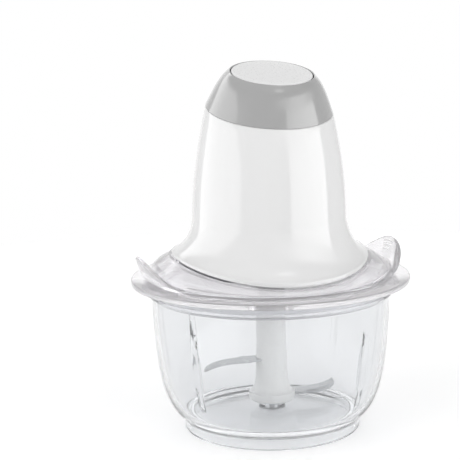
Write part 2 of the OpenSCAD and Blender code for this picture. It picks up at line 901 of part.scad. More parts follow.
module cord_gland() {
  rim_z = gland_inner + shell_wall - edge;
  color("gray") translate([0, gland_start, gland_z]) rotate([-90, 0, 0]) difference() {
    union() {
      cylinder(r = gland_r, h = gland_len);
      translate([0, 0, rim_z]) cylinder(r = gland_r + gland_rim, h = gland_rim_t);
    }
    translate([0, 0, -over]) cylinder(r = gland_bore, h = gland_len + 2 * over);
  }
}

// Output side of the gearbox

module output_bearing() {
  end_gap = 0.2;
  color("peru") translate([0, 0, z_base_neck + seal_h + end_gap])
    tube(output_bearing_r, output_r + run_gap, z_base - z_base_neck - seal_h - 2 * end_gap);
}

module shaft_seal() {
  color("black") translate([0, 0, z_base_neck]) tube(output_bearing_r, output_r + run_gap, seal_h);
}

module thrust_washer() {
  color("silver") translate([0, 0, z_base])
    tube(output_bearing_r + washer_rim, output_r + run_gap, washer_t);
}

module planet_carrier() {
  color("dimgray") translate([0, 0, z_carrier]) difference() {
    cylinder(r = carrier_r, h = carrier_t);
    translate([0, 0, -over]) cylinder(r = output_r + seat_gap, h = carrier_t + 2 * over);
    around(planet_angles, planet_orbit)
      translate([0, 0, pin_floor]) cylinder(r = planet_pin_r + seat_gap, h = carrier_t);
  }
}

module planet_pins() {
  z_start = z_carrier + pin_floor;
  color("silver") around(planet_angles, planet_orbit)
    translate([0, 0, z_start]) cylinder(r = planet_pin_r, h = z_gear_top + gap - z_start);
}

module output_shaft() {
  z_shoulder = z_base_neck - gap;
  z_spigot = z_coupling + coupling_floor;
  color("silver") {
    translate([0, 0, z_shoulder]) cylinder(r = output_r, h = z_carrier + carrier_t - z_shoulder);
    translate([0, 0, z_spigot]) cylinder(r = spigot_r, h = z_base_neck - z_spigot);
  }
}

module drive_coupling() {
  color("ivory") translate([0, 0, z_coupling]) difference() {
    cylinder(r = hex_r, h = z_base_neck - gap - z_coupling, $fn = 6);
    translate([0, 0, coupling_floor]) cylinder(r = spigot_r + seat_gap, h = z_base_neck);
  }
}

module planet_gear(k) {
  color("ivory") rotate(planet_angles[k]) translate([planet_orbit, 0, z_gear]) difference() {
    linear_extrude(gear_w) rotate(180 / planet_teeth)
      polygon(gear_outline(planet_teeth, addendum, dedendum, backlash));
    translate([0, 0, -over]) cylinder(r = planet_pin_r + run_gap, h = gear_w + 2 * over);
  }
}

module planet_gear_1() {
  planet_gear(0);
}

module planet_gear_2() {
  planet_gear(1);
}

module planet_gear_3() {
  planet_gear(2);
}

// Round of the gear case with its four screw ears
module case_ears(h) {
  linear_extrude(h) {
    circle(r = case_r);
    for (a = ear_angles) {
      rotate(a) translate([0, -ear_r]) square([ear_orbit, 2 * ear_r]);
      rotate(a) translate([ear_orbit, 0]) circle(r = ear_r);
    }
  }
}

module gear_case() {
  h = z_cover - z_base;
  color("slategray") translate([0, 0, z_base]) difference() {
    case_ears(h);
    translate([0, 0, -over]) linear_extrude(h + 2 * over)
      rotate(180 / ring_teeth) polygon(gear_outline(ring_teeth, dedendum, addendum, -backlash));
    around(ear_angles, ear_orbit)
      translate([0, 0, -over]) cylinder(r = screw_r + screw_gap, h = h + 2 * over);
  }
}

module gearbox_cover() {
  bolt_room = bolt_depth + 2;
  color("slategray") difference() {
    union() {
      translate([0, 0, z_cover]) case_ears(cover_t);
      translate([0, 0, z_cover]) cylinder(r = bearing_boss_r, h = cover_t + rotor_bearing_h);
      around(bolt_angles, bolt_orbit) translate([0, 0, z_cover]) cylinder(r = post_r, h = z_core - z_cover);
    }
    translate([0, 0, z_cover - over]) cylinder(r = shaft_hole_r, h = cover_t + 2 * over);
    translate([0, 0, z_cover_top]) cylinder(r = rotor_bearing_r + seat_gap, h = rotor_bearing_h + over);
    around(ear_angles, ear_orbit)
      translate([0, 0, z_cover - over]) cylinder(r = screw_r + screw_gap, h = cover_t + 2 * over);
    around(bolt_angles, bolt_orbit)
      translate([0, 0, z_core - bolt_room]) cylinder(r = bolt_r + seat_gap, h = bolt_room + over);
  }
}

module gearbox_screws() {
  tip_room = 0.8;
  color("dimgray") around(ear_angles, ear_orbit)
    translate([0, 0, z_unit + tip_room]) screw(z_cover_top - z_unit - tip_room);
}

// Rotor

module rotor_shaft() {
  z_start = z_gear - gap / 2;
  stub = 1;
  color("silver") translate([0, 0, z_start]) cylinder(r = shaft_r, h = z_bracket_top + stub - z_start);
}

module sun_pinion() {
  color("goldenrod") translate([0, 0, z_gear]) difference() {
    linear_extrude(gear_w) polygon(gear_outline(sun_teeth, addendum, dedendum, backlash));
    translate([0, 0, -over]) cylinder(r = shaft_r + seat_gap, h = gear_w + 2 * over);
  }
}

core_inset = 0.5;

module armature_core() {
  slots = 12;
  slot_w = 2.4;
  slot_d = 5;
  h = stack_h - 2 * core_inset;
  color("dimgray") translate([0, 0, z_core + core_inset]) difference() {
    cylinder(r = armature_r, h = h);
    translate([0, 0, -over]) cylinder(r = shaft_r + seat_gap, h = h + 2 * over);
    around([for (i = [0:slots - 1]) 360 * i / slots], armature_r - slot_d)
      translate([0, -slot_w / 2, -over]) cube([slot_d + over, slot_w, h + 2 * over]);
  }
}

module end_turn(h) {
  inner = shaft_r + 1.5;
  outer = armature_r - 2;
  rotate_extrude()
    polygon([
      [inner, 0], [outer - edge, 0], [outer, 2 * edge], [outer - 1, h - 1.4],
      [outer - 3, h], [inner + 1, h], [inner, h - 1]
    ]);
}

module armature_windings() {
  color("chocolate") {
    translate([0, 0, z_core_top - core_inset]) end_turn(end_turn_h);
    translate([0, 0, z_core + core_inset]) mirror([0, 0, 1]) end_turn(end_turn_h);
  }
}

module commutator() {
  bars = 24;
  slit_w = 0.4;
  slit_d = 0.8;
  color("peru") translate([0, 0, z_commutator]) difference() {
    cylinder(r = commutator_r, h = commutator_h);
    translate([0, 0, -over]) cylinder(r = shaft_r + seat_gap, h = commutator_h + 2 * over);
    around([for (i = [0:bars - 1]) 360 * i / bars], commutator_r - slit_d)
      translate([0, -slit_w / 2, -over]) cube([slit_d + over, slit_w, commutator_h + 2 * over]);
  }
}

module cooling_fan() {
  vanes = 9;
  vane_t = 1.2;
  disc_t = 1.2;
  hub_wall = 3.6;
  vane_root = 1.4;
  hub = shaft_r + hub_wall;
  vane_in = hub + vane_root;
  color("black") translate([0, 0, z_fan]) difference() {
    union() {
      cylinder(r = hub, h = fan_h);
      cylinder(r = fan_r, h = disc_t);
      around([for (i = [0:vanes - 1]) 360 * i / vanes], vane_in)
        translate([0, -vane_t / 2, disc_t / 2]) cube([fan_r - edge - vane_in, vane_t, fan_h - disc_t / 2]);
    }
    translate([0, 0, -over]) cylinder(r = shaft_r + seat_gap, h = fan_h + 2 * over);
  }
}

// Stator and its bracket

module rotor_bearing(z) {
  color("peru") translate([0, 0, z]) tube(rotor_bearing_r, shaft_r + run_gap, rotor_bearing_h);
}

module lower_bearing() {
  rotor_bearing(z_cover_top + seat_gap);
}

module upper_bearing() {
  rotor_bearing(z_bracket_top - rotor_bearing_h);
}

window_angles = [40, 140, 220, 320];
window_gap = 0.3;
stator_cheek = 4;

module stator_core() {
  half = coil_out + stator_cheek;
  slot_in = coil_in - window_gap;
  slot_w = coil_w + 2 * window_gap;
  color("lightslategray") translate([0, 0, z_core]) difference() {
    intersection() {
      cylinder(r = stator_r, h = stack_h);
      translate([-stator_r, -half, 0]) cube([2 * stator_r, 2 * half, stack_h]);
    }
    translate([0, 0, -over]) cylinder(r = armature_r + air_gap, h = stack_h + 2 * over);
    around(window_angles, slot_in)
      translate([0, -slot_w / 2, -over]) cube([coil_t + 2 * window_gap, slot_w, stack_h + 2 * over]);
    around(bolt_angles, bolt_orbit)
      translate([0, 0, -over]) cylinder(r = bolt_hole_r, h = stack_h + 2 * over);
  }
}

// One field coil: two straight sides in the windows and two arched ends
module field_coil() {
  end_t = 3;
  stand_off = 0.6;
  straight = stack_h + 2 * (stand_off + end_t - over);
  first = 35;
  for (a = [40, 140]) {
    rotate(a) translate([coil_in, -coil_w / 2, z_core - (straight - stack_h) / 2])
      cube([coil_t, coil_w, straight]);
  }
  for (z = [z_core - stand_off - end_t, z_core_top + stand_off]) {
    translate([0, 0, z]) rotate(first) rotate_extrude(angle = 180 - 2 * first)
      translate([coil_in, 0]) square([coil_t, end_t]);
  }
}

module field_coils() {
  color("chocolate") {
    field_coil();
    rotate(180) field_coil();
  }
}

module stator_bolts() {
  head_r = 3.5;
  head_h = 2.4;
  length = z_bracket_top - z_core + bolt_depth;
  color("dimgray") around(bolt_angles, bolt_orbit) translate([0, 0, z_core - bolt_depth]) {
    cylinder(r = bolt_r, h = length + head_h / 4);
    translate([0, 0, length]) cylinder(r = head_r, h = head_h, $fn = 6);
  }
}

module upper_bracket() {
  arm_w = 12;
  cross_t = 3;
  color("slategray") difference() {
    union() {
      translate([-bolt_orbit, -arm_w / 2, z_bracket]) cube([2 * bolt_orbit, arm_w, bracket_t]);
      translate([-arm_w / 2, -holder_end, z_bracket]) cube([arm_w, 2 * holder_end, cross_t]);
      translate([0, 0, z_bracket]) cylinder(r = bearing_boss_r, h = bracket_t);
      around(bolt_angles, bolt_orbit)
        translate([0, 0, z_core_top]) cylinder(r = post_r, h = z_bracket_top - z_core_top);
    }
    translate([0, 0, z_bracket - over]) cylinder(r = shaft_hole_r, h = bracket_t + 2 * over);
    translate([0, 0, z_bracket_top - rotor_bearing_h])
      cylinder(r = rotor_bearing_r + seat_gap, h = rotor_bearing_h + over);
    around(bolt_angles, bolt_orbit) translate([0, 0, z_core_top - over])
      cylinder(r = bolt_hole_r, h = z_bracket_top - z_core_top + 2 * over);
  }
}

module brush_holders() {
  inner = brush_start + 1;
  low = z_brush - brush_h / 2 - holder_wall;
  slack = 0.1;
  color("saddlebrown") around(brush_angles, 0) difference() {
    translate([inner, -brush_w / 2 - holder_wall, low])
      cube([holder_end - inner, brush_w + 2 * holder_wall, z_bracket - low]);
    translate([brush_start, -brush_w / 2 - slack, z_brush - brush_h / 2 - slack])
      cube([holder_end - brush_start - holder_wall, brush_w + 2 * slack, brush_h + 2 * slack]);
  }
}

module carbon_brushes() {
  color("black") around(brush_angles, 0)
    translate([brush_start, -brush_w / 2, z_brush - brush_h / 2]) cube([brush_len, brush_w, brush_h]);
}

module brush_springs() {
  play = 0.05;
  coil_r = 1.7;
  wire_d = 0.5;
  turns = 4;
  length = brush_room - holder_wall - 2 * play;
  color("silver") around(brush_angles, brush_start + brush_len + play)
    translate([0, 0, z_brush]) rotate([0, 90, 0]) coil(coil_r, wire_d, length, turns, 32, 6);
}

// Switch and button, on the slanted axis

module switch_plate() {
  slot_l = 12;
  slot_w = 5;
  slot_y = 17.5;
  color("tan") top_frame() difference() {
    translate([0, 0, plate_z]) cylinder(r = neck_r - shell_wall - plate_inset, h = plate_t);
    around(plate_screw_angles, plate_screw_orbit)
      translate([0, 0, plate_z - over]) cylinder(r = plate_screw_r + screw_gap, h = plate_t + 2 * over);
    translate([-slot_l / 2, slot_y, plate_z - over]) cube([slot_l, slot_w, plate_t + 2 * over]);
  }
}

module plate_screws() {
  head_r = 1.5;
  head_h = 1.1;
  color("dimgray") top_frame() around(plate_screw_angles, plate_screw_orbit) {
    translate([0, 0, -plate_screw_r]) cylinder(r = plate_screw_r, h = plate_top + 2 * plate_screw_r);
    translate([0, 0, plate_top]) cylinder(r = head_r, h = head_h);
  }
}

module micro_switch() {
  end_room = 1.6;
  hole_r = 1;
  hole_in = 3;
  start = -lever_arm - end_room;
  color("black") top_frame() difference() {
    translate([start, -switch_w / 2, plate_top]) cube([switch_l, switch_w, switch_h]);
    for (x = [start + hole_in, start + switch_l - hole_in]) {
      translate([x, 0, plate_top + 2 * hole_r])
        rotate([90, 0, 0]) cylinder(r = hole_r, h = switch_w + 2 * over, center = true);
    }
    translate([-lever_arm, 0, lever_z])
      rotate([90, 0, 0]) cylinder(r = lever_barrel_r + gap, h = switch_w + 2 * over, center = true);
  }
}

// The lever turns on a rolled barrel in the switch's groove; its slope at rest goes as the button is pressed
module switch_lever() {
  lever_w = switch_w - 2;
  color("silver") top_frame() translate([-lever_arm, 0, lever_z]) {
    rotate([0, -lever_slope, 0])
      translate([0, -lever_w / 2, 0]) cube([lever_arm + lever_over, lever_w, lever_t]);
    rotate([90, 0, 0]) cylinder(r = lever_barrel_r, h = lever_w, center = true);
  }
}

module capacitor() {
  block = [12, 6, 9];
  color("gold") top_frame() translate([-block[0] / 2, block[1], plate_top]) cube(block);
}

module power_button() {
  crown_r = button_r - edge;
  steps = 10;
  color("whitesmoke") top_frame() rotate_extrude()
    polygon(concat(
      [[0, roof_z], [button_r - button_wall, roof_z], [button_r - button_wall, lip_z]],
      [[button_r + lip_reach, lip_z], [button_r + lip_reach, lip_z + lip_h], [button_r, lip_z + lip_h]],
      [[button_r, button_z - edge]],
      [for (i = [0:steps]) let (r = crown_r * (1 - i / steps))
        [r, button_z + button_crown * (1 - pow(r / crown_r, 2))]]
    ));
}

module button_plunger() {
  color("ivory") top_frame() {
    translate([0, 0, plunger_z]) cylinder(r = plunger_r, h = roof_z - plunger_z);
    translate([0, 0, roof_z - plunger_boss_h]) cylinder(r = plunger_boss_r, h = plunger_boss_h);
  }
}

module button_spring() {
  play = 0.05;
  color("silver") top_frame() translate([0, 0, plate_top + play])
    coil(spring_r, spring_wire, roof_z - plate_top - 2 * play, 4, 96, 6);
}

bowl();
spindle_pin();
blade_hub();
lower_blade();
upper_blade();
lid();
lid_seal();
motor_housing();
base_cover();
base_screws();
top_collar();
cord_gland();
output_bearing();
shaft_seal();
thrust_washer();
gear_case();
gearbox_cover();
gearbox_screws();
planet_carrier();
planet_pins();
output_shaft();
drive_coupling();
planet_gear_1();
planet_gear_2();
planet_gear_3();
rotor_shaft();
sun_pinion();
armature_core();
armature_windings();
commutator();
cooling_fan();
lower_bearing();
upper_bearing();
stator_core();
field_coils();
stator_bolts();
upper_bracket();
brush_holders();
carbon_brushes();
brush_springs();
switch_plate();
plate_screws();
micro_switch();
switch_lever();
capacitor();
power_button();
button_plunger();
button_spring();
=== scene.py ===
"""Mini food chopper: a clear bowl, a clear lid with finger wings and a white motor unit, over its frame."""
import json
import math
from types import SimpleNamespace

import bmesh
import bpy
from bpy.props import FloatProperty, FloatVectorProperty, IntProperty, PointerProperty
from mathutils import Matrix, Vector


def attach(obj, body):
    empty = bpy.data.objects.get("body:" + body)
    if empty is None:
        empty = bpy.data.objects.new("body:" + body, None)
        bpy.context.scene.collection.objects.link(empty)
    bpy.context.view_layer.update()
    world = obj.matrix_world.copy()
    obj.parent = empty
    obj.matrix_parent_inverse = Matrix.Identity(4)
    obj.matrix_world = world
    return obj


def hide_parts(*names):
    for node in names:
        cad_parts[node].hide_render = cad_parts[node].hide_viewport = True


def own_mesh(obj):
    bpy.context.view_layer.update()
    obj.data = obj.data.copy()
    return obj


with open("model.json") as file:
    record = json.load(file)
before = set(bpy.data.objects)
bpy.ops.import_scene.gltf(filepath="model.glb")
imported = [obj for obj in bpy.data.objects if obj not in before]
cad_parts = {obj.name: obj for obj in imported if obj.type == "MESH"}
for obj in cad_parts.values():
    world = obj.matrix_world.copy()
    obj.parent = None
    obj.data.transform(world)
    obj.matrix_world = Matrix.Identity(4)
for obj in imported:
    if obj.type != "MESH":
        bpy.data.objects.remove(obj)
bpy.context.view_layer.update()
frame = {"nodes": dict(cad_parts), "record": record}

bl_info = {
    "name": "Mini Food Chopper",
    "version": (1, 0, 0),
    "blender": (4, 5, 0),
    "location": "View3D > Sidebar > Chopper",
    "description": "Builds the bowl, lid, blades and motor unit of a mini food chopper over its frame",
    "category": "Object",
}

# A millimetre in metres, the least length that counts, and the camera's turn to the left of the front
MM = 0.001
TINY = 1e-6
VIEW_TURN = math.radians(18)


# Lesser sizes in millimetres, as in the solids

LESSER = dict(
    # Clearances, and how far edges and corners are softened
    gap=0.3, run_gap=0.05, seat_gap=0.02, button_gap=0.5, seam=0.8,
    edge=0.6, fine_soft=0.7, soft=0.8, wide_soft=0.9,
    # Bowl
    rim_slope=1.5, straight_wall=8.0, heel_in=6.5, heel_up=3.5, belly_in=1.5, belly_up=21.5, foot_round=1.2,
    toe_w=0.4, toe_h=1.4, foot_draft=0.2, foot_neck=1.6, rib_in=8.0, rib_sink=0.4, rib_round=0.4,
    boss_r=7.0, boss_h=4.0,
    # Blade unit
    pin_r=3.0, pin_h=31.0, hub_base_r=12.5, hub_rim_h=2.4, hub_bevel=1.0, hub_swell=0.4, hub_foot_up=2.0,
    hub_foot_h=5.6, stem_swell_h=4.0, stem_start=6.0, stem_rim=1.6, hex_r=5.0, hex_h=10.0, hex_gap=0.45,
    hex_bevel=0.4, lower_blade_h=2.4, upper_blade_h=23.0, blade_t=1.2, blade_edge=0.12, bevel_w=3.0,
    tang_w=9.0, tang_wall=1.0, root_w=1.0, blade_neck=0.5, blade_sweep=12.0, blade_belly=4.0, tip_back=7.0,
    tip_w=1.0,
    # Lid
    lid_hole_r=9.37, hole_wall=2.4, lid_wall=2.4, plug_h=8.0, groove_h=2.6, groove_drop=5.2, groove_d=1.2,
    wing_t=2.2, wing_root=1.5, wing_back=1.7, fold_out=1.1, fold_up=1.8, fold_in=1.0, fold_drop=1.6,
    step_out=0.7, step_up=3.0, step_rise=1.0, shoulder_in=3.0, shoulder_drop=5.2, seat_wall=1.7,
    seat_round=0.2, dip_end=16.0, grip_pitch=1.6, grip_half=6.0, grip_r=0.3, grip_down=1.2,
    # Motor housing
    skirt_lift=13.5, waist_h=17.8, neck_h=75.7, neck_lean=3.2, unit_lift=4.8, base_neck_h=4.4, brim_h=1.4,
    brim_in=1.0, flare_out=5.4, flare_up=1.9, waist_swell=0.4, waist_drop=7.9, wall_reach=19.0,
    neck_swell=4.4, dip_margin=4.0,
    # Slanted top
    collar_wall=2.2, collar_lean=3.6, collar_rise=8.4, crown_out=5.5, crown_drop=3.5, crown_edge=0.2,
    guide_z=9.5, guide_t=2.0, guide_drop=3.9, ledge_w=4.8, ledge_z=0.5, ledge_drop=1.5, spigot_t=1.7,
    spigot_drop=2.4, button_wall=2.0, button_roof=2.4, button_round=1.4, button_rise=1.1, button_proud=0.1,
    lip_h=1.6, lip_reach=1.8, plate_top=2.6, spring_r=16.2, spring_wire=1.2,
    # Cord gland
    gland_lift=20.0, gland_wall=1.6, gland_inner=3.0, gland_outer=3.0, gland_rim=1.8, gland_rim_t=2.2,
)


# Sizes and colours that a user would change

def length(name, description, default):
    """A length in metres."""
    return FloatProperty(name=name, description=description, default=default, min=0.0, precision=5,
                         subtype="DISTANCE", unit="LENGTH")


def angle(name, description, degrees):
    """An angle, given in degrees."""
    return FloatProperty(name=name, description=description, default=math.radians(degrees), subtype="ANGLE",
                         unit="ROTATION")


def colour(name, description, default):
    """A plain colour without alpha."""
    return FloatVectorProperty(name=name, description=description, default=default, size=3, min=0.0, max=1.0,
                               subtype="COLOR")


class ChopperSizes(bpy.types.PropertyGroup):
    """Sizes of the visible pieces, as in the solids."""
    bowl_r: length("Bowl radius", "Outer radius of the bowl near its mouth", 0.064)
    bowl_h: length("Bowl height", "Height of the bowl's rim", 0.080)
    bowl_wall: length("Bowl wall", "Thickness of the bowl's wall and floor", 0.0026)
    rim_lip: length("Rim lip", "How far the rim stands out", 0.0023)
    rim_h: length("Rim height", "Height of the rim band", 0.0052)
    foot_r: length("Foot radius", "Outer radius of the foot ring", 0.0482)
    foot_h: length("Foot height", "Height of the foot ring", 0.0064)
    foot_w: length("Foot width", "Width of the foot ring", 0.0042)
    rib_w: length("Rib width", "Width of a rib in the bowl", 0.0032)
    rib_depth: length("Rib depth", "Reach of a rib in from the wall at its middle", 0.0026)
    rib_h: length("Rib height", "Height of a rib", 0.042)
    rib_up: length("Rib lift", "Height of a rib's lower end above the floor", 0.010)
    hub_r: length("Stem radius", "Radius of the blade hub's stem", 0.008)
    blade_reach: length("Blade reach", "Reach of the blades from the axis", 0.044)
    flange_r: length("Flange radius", "Radius of the lid's flange", 0.075)
    flange_t: length("Flange thickness", "Thickness of the lid's flange", 0.003)
    collar_r: length("Lid collar radius", "Radius of the lid's raised collar", 0.0656)
    seat_r: length("Seat radius", "Radius of the collar's upper edge", 0.0544)
    wing_r: length("Wing radius", "Radius of a finger wing's tip", 0.0734)
    wing_h: length("Wing height", "Height of a finger wing above the flange", 0.0149)
    skirt_r: length("Skirt radius", "Radius of the housing's lower edge", 0.0528)
    skirt_dip: length("Skirt dip", "How far the housing's edge dips at the front", 0.0107)
    waist_r: length("Waist radius", "Radius of the housing above its flare", 0.0414)
    neck_r: length("Neck radius", "Radius of the housing under the grey collar", 0.0338)
    shell_wall: length("Shell wall", "Wall of the housing", 0.0024)
    top_h: length("Grey collar height", "Height of the grey collar along its axis", 0.0196)
    button_r: length("Button radius", "Radius of the push button", 0.0214)
    gland_bore: length("Gland bore", "Bore radius of the cord gland", 0.0033)
    wing_turn: angle("Wing half turn", "Half of the turn that a finger wing takes up", 30)
    slant: angle("Slant", "Slant of the top towards the front", 14.6)
    segments: IntProperty(name="Segments", description="Points round a turned piece", default=192, min=48,
                          max=384)
    grips: IntProperty(name="Grip ridges", description="Ridges on each finger wing", default=4, min=0, max=8)


class ChopperColours(bpy.types.PropertyGroup):
    """Colours of the visible materials."""
    shell: colour("Shell white", "Gloss white of the motor housing", (0.80, 0.80, 0.80))
    collar: colour("Collar grey", "Satin grey of the top collar", (0.36, 0.36, 0.36))
    button: colour("Button white", "Satin white of the button", (0.90, 0.90, 0.90))
    hub: colour("Hub white", "White of the blade hub", (0.78, 0.78, 0.77))
    clear: colour("Clear tint", "Tint of the clear bowl", (0.880, 0.888, 0.898))
    clear_lid: colour("Clear lid tint", "Tint of the clear lid", (0.982, 0.974, 0.988))
    steel: colour("Steel", "Blades, pin and shafts", (0.60, 0.61, 0.62))
    # The base's dark grey is painted shade: it stands in for the shadow in the gap under the housing's skirt,
    # which shows as a dark line
    base: colour("Base grey", "Underside of the motor unit", (0.17, 0.17, 0.18))
    rubber: colour("Grey rubber", "Cord gland", (0.30, 0.30, 0.31))
    floor: colour("Floor", "Pale studio floor", (0.86, 0.86, 0.86))


def sizes():
    """All sizes in millimetres, with the radii and heights that follow from them."""
    group = bpy.context.scene.chopper_sizes
    s = SimpleNamespace(**LESSER)
    for name in ChopperSizes.__annotations__:
        value = getattr(group, name)
        setattr(s, name, value if name in ("wing_turn", "slant", "segments", "grips") else value / MM)
    s.mouth_r = s.bowl_r - s.bowl_wall
    s.z_floor = s.foot_h + s.bowl_wall
    s.z_boss = s.z_floor + s.boss_h
    s.z_hub = s.z_boss + s.gap
    s.z_lower_blade = s.z_hub + s.lower_blade_h
    s.z_upper_blade = s.z_hub + s.upper_blade_h
    s.z_flange = s.bowl_h + s.gap
    s.z_deck = s.z_flange + s.flange_t
    s.shoulder_r = s.collar_r - s.shoulder_in
    s.wing_reach = s.wing_r - s.collar_r
    s.z_skirt = s.z_deck + s.skirt_lift
    s.z_waist = s.z_skirt + s.waist_h
    s.z_neck = s.z_skirt + s.neck_h
    s.z_unit = s.z_deck + s.unit_lift
    s.z_hub_top = s.z_unit - s.base_neck_h - 2 * s.gap
    s.hole_r = s.button_r + s.button_gap
    s.z_button = s.top_h + s.gap
    s.z_roof = s.z_button - s.button_roof
    return s


def colours():
    return bpy.context.scene.chopper_colours


# Curves, rings and skins

def bezier(points, count):
    """Points along a cubic curve."""
    a, b, c, d = (Vector(p) for p in points)
    out = []
    for i in range(count + 1):
        t = i / count
        out.append(a * (1 - t) ** 3 + b * 3 * (1 - t) ** 2 * t + c * 3 * (1 - t) * t * t + d * t ** 3)
    return out


def beside(line, distance):
    """A line of 2D points set off to its left."""
    out = []
    for i, p in enumerate(line):
        d = (line[min(i + 1, len(line) - 1)] - line[max(i - 1, 0)]).normalized()
        out.append(p + Vector((-d.y, d.x)) * distance)
    return out


def softened(points, radius, closed=False, steps=4, least=20.0, most=0.45):
    """The profile with its corners rounded; values past the first two, such as a share, go along.

    Turns under the least angle stay, and a rounding takes at most a share of its shorter side."""
    points = [Vector(p) for p in points]
    n = len(points)
    out = []
    for i, p in enumerate(points):
        if not closed and i in (0, n - 1):
            out.append(p)
            continue
        before, after = points[i - 1] - p, points[(i + 1) % n] - p
        a, b = before.to_2d(), after.to_2d()
        shorter = min(a.length, b.length)
        turn = math.pi - a.angle(b) if shorter > TINY else 0.0
        if math.degrees(turn) < least:
            out.append(p)
            continue
        d = min(radius * math.tan(turn / 2), shorter * most)
        start, end = p + before * (d / a.length), p + after * (d / b.length)
        for k in range(steps + 1):
            t = k / steps
            out.append(start * (1 - t) ** 2 + p * 2 * t * (1 - t) + end * t * t)
    return out


def through(line, steps):
    """Points of a smooth curve through a line's points, without the first."""
    line = [Vector(p) for p in line]
    last = len(line) - 1
    out = []
    for k in range(last):
        a, b, c, d = line[max(k - 1, 0)], line[k], line[k + 1], line[min(k + 2, last)]
        for i in range(1, steps + 1):
            u = i / steps
            out.append(0.5 * (2 * b + (c - a) * u + (2 * a - 5 * b + 4 * c - d) * u * u
                              + (3 * b - a - 3 * c + d) * u ** 3))
    return out


def smooth(t):
    """A soft step from 0 to 1."""
    t = min(max(t, 0.0), 1.0)
    return t * t * (3 - 2 * t)


def circle_angles(count):
    return [2 * math.pi * i / count for i in range(count)]


def turned(profile, count, spot=Matrix.Identity(4)):
    """Rings of a turned piece: a point on the axis becomes a pole."""
    rings = []
    for r, z in (p[:2] for p in profile):
        around = circle_angles(count) if r > TINY else [0.0]
        rings.append([spot @ Vector((r * math.cos(a), r * math.sin(a), z)) for a in around])
    return rings


def skinned(rings, loop=False, caps=False):
    """A mesh over rings given in millimetres, joined one after another, with its faces outwards."""
    bm = bmesh.new()
    rows = [[bm.verts.new(Vector(p) * MM) for p in ring] for ring in rings]
    pairs = list(zip(rows, rows[1:]))
    if loop:
        pairs.append((rows[-1], rows[0]))
    for low, high in pairs:
        n = max(len(low), len(high))
        for i in range(n):
            k = (i + 1) % n
            corners = []
            for v in (low[i % len(low)], low[k % len(low)], high[k % len(high)], high[i % len(high)]):
                if v not in corners:
                    corners.append(v)
            bm.faces.new(corners)
    if caps:
        bm.faces.new(rows[0])
        bm.faces.new(rows[-1])
    bmesh.ops.recalc_face_normals(bm, faces=bm.faces)
    return bm


def to_object(name, bm, sharp=40.0):
    """A linked object from a bmesh, shaded smooth except at sharp edges."""
    mesh = bpy.data.meshes.new(name)
    bm.to_mesh(mesh)
    bm.free()
    mesh.shade_smooth()
    mesh.set_sharp_from_angle(angle=math.radians(sharp))
    obj = bpy.data.objects.new(name, mesh)
    bpy.context.scene.collection.objects.link(obj)
    return obj


def place(obj, body, slot, *nodes):
    """Puts the finished piece on its body, with its finish, in place of its solids."""
    obj.data.materials.clear()
    obj.data.materials.append(finish(slot))
    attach(obj, body)
    if nodes:
        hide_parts(*nodes)


def baked(obj):
    """Applies the object's modifiers to its mesh and removes them."""
    bpy.context.view_layer.update()
    graph = bpy.context.evaluated_depsgraph_get()
    mesh = bpy.data.meshes.new_from_object(obj.evaluated_get(graph), depsgraph=graph)
    obj.modifiers.clear()
    old = obj.data
    obj.data = mesh
    bpy.data.meshes.remove(old)


# Materials

# Noise: the span that most of its values lie in, and cells a metre for the drift of tone and for flow marks
NOISE_SPAN = (0.3, 0.7)
DRIFT_CELLS, FLOW_CELLS = 60.0, 22.0
FLOW_STRETCH, FLOW_DEPTH, FLOW_TINT = (1, 1, 0.35), 8e-6, 0.004
PLASTIC_IOR = 1.5
COAT_ROUGHNESS = 0.05


def new_material(name):
    """A node material and its principled shader."""
    mat = bpy.data.materials.new(name)
    mat.use_nodes = True
    return mat, mat.node_tree, mat.node_tree.nodes["Principled BSDF"]


def noise_on(tree, scale, detail=2.0, stretch=(1, 1, 1)):
    """A noise in Object coordinates; scale is in cells a metre."""
    coords = tree.nodes.new("ShaderNodeTexCoord")
    mapping = tree.nodes.new("ShaderNodeMapping")
    mapping.inputs["Scale"].default_value = stretch
    noise = tree.nodes.new("ShaderNodeTexNoise")
    noise.inputs["Scale"].default_value = scale
    noise.inputs["Detail"].default_value = detail
    tree.links.new(coords.outputs["Object"], mapping.inputs["Vector"])
    tree.links.new(mapping.outputs["Vector"], noise.inputs["Vector"])
    return noise.outputs["Fac"]


def map_range(tree, value, start, end, low, high, kind="LINEAR"):
    """The value carried from one range to another."""
    node = tree.nodes.new("ShaderNodeMapRange")
    node.interpolation_type = kind
    for name, number in (("From Min", start), ("From Max", end), ("To Min", low), ("To Max", high)):
        node.inputs[name].default_value = number
    tree.links.new(value, node.inputs["Value"])
    return node.outputs["Result"]


def math_node(tree, operation, a, b):
    """A sum, product or the like of two values, each a number or an output."""
    node = tree.nodes.new("ShaderNodeMath")
    node.operation = operation
    for entry, value in zip(node.inputs, (a, b)):
        if isinstance(value, (int, float)):
            entry.default_value = value
        else:
            tree.links.new(value, entry)
    return node.outputs["Value"]


def seen_directly(tree):
    """One for rays from the camera, off gloss or through glass, else zero."""
    rays = tree.nodes.new("ShaderNodeLightPath")
    shown = math_node(tree, "MAXIMUM", rays.outputs["Is Camera Ray"], rays.outputs["Is Glossy Ray"])
    return math_node(tree, "MAXIMUM", shown, rays.outputs["Is Transmission Ray"])


def uneven(tree, value, roughness, share):
    """A roughness that rises and falls with a noise by a share of itself."""
    return map_range(tree, value, *NOISE_SPAN, roughness * (1 - share), roughness * (1 + share))


def varied_colour(tree, value, base, amount):
    """The base colour, a little darker and lighter with the value."""
    mix = tree.nodes.new("ShaderNodeMix")
    mix.data_type = "RGBA"
    mix.inputs["A"].default_value = (*[c * (1 - amount) for c in base], 1)
    mix.inputs["B"].default_value = (*[min(1, c * (1 + amount)) for c in base], 1)
    tree.links.new(value, mix.inputs["Factor"])
    return mix.outputs["Result"]


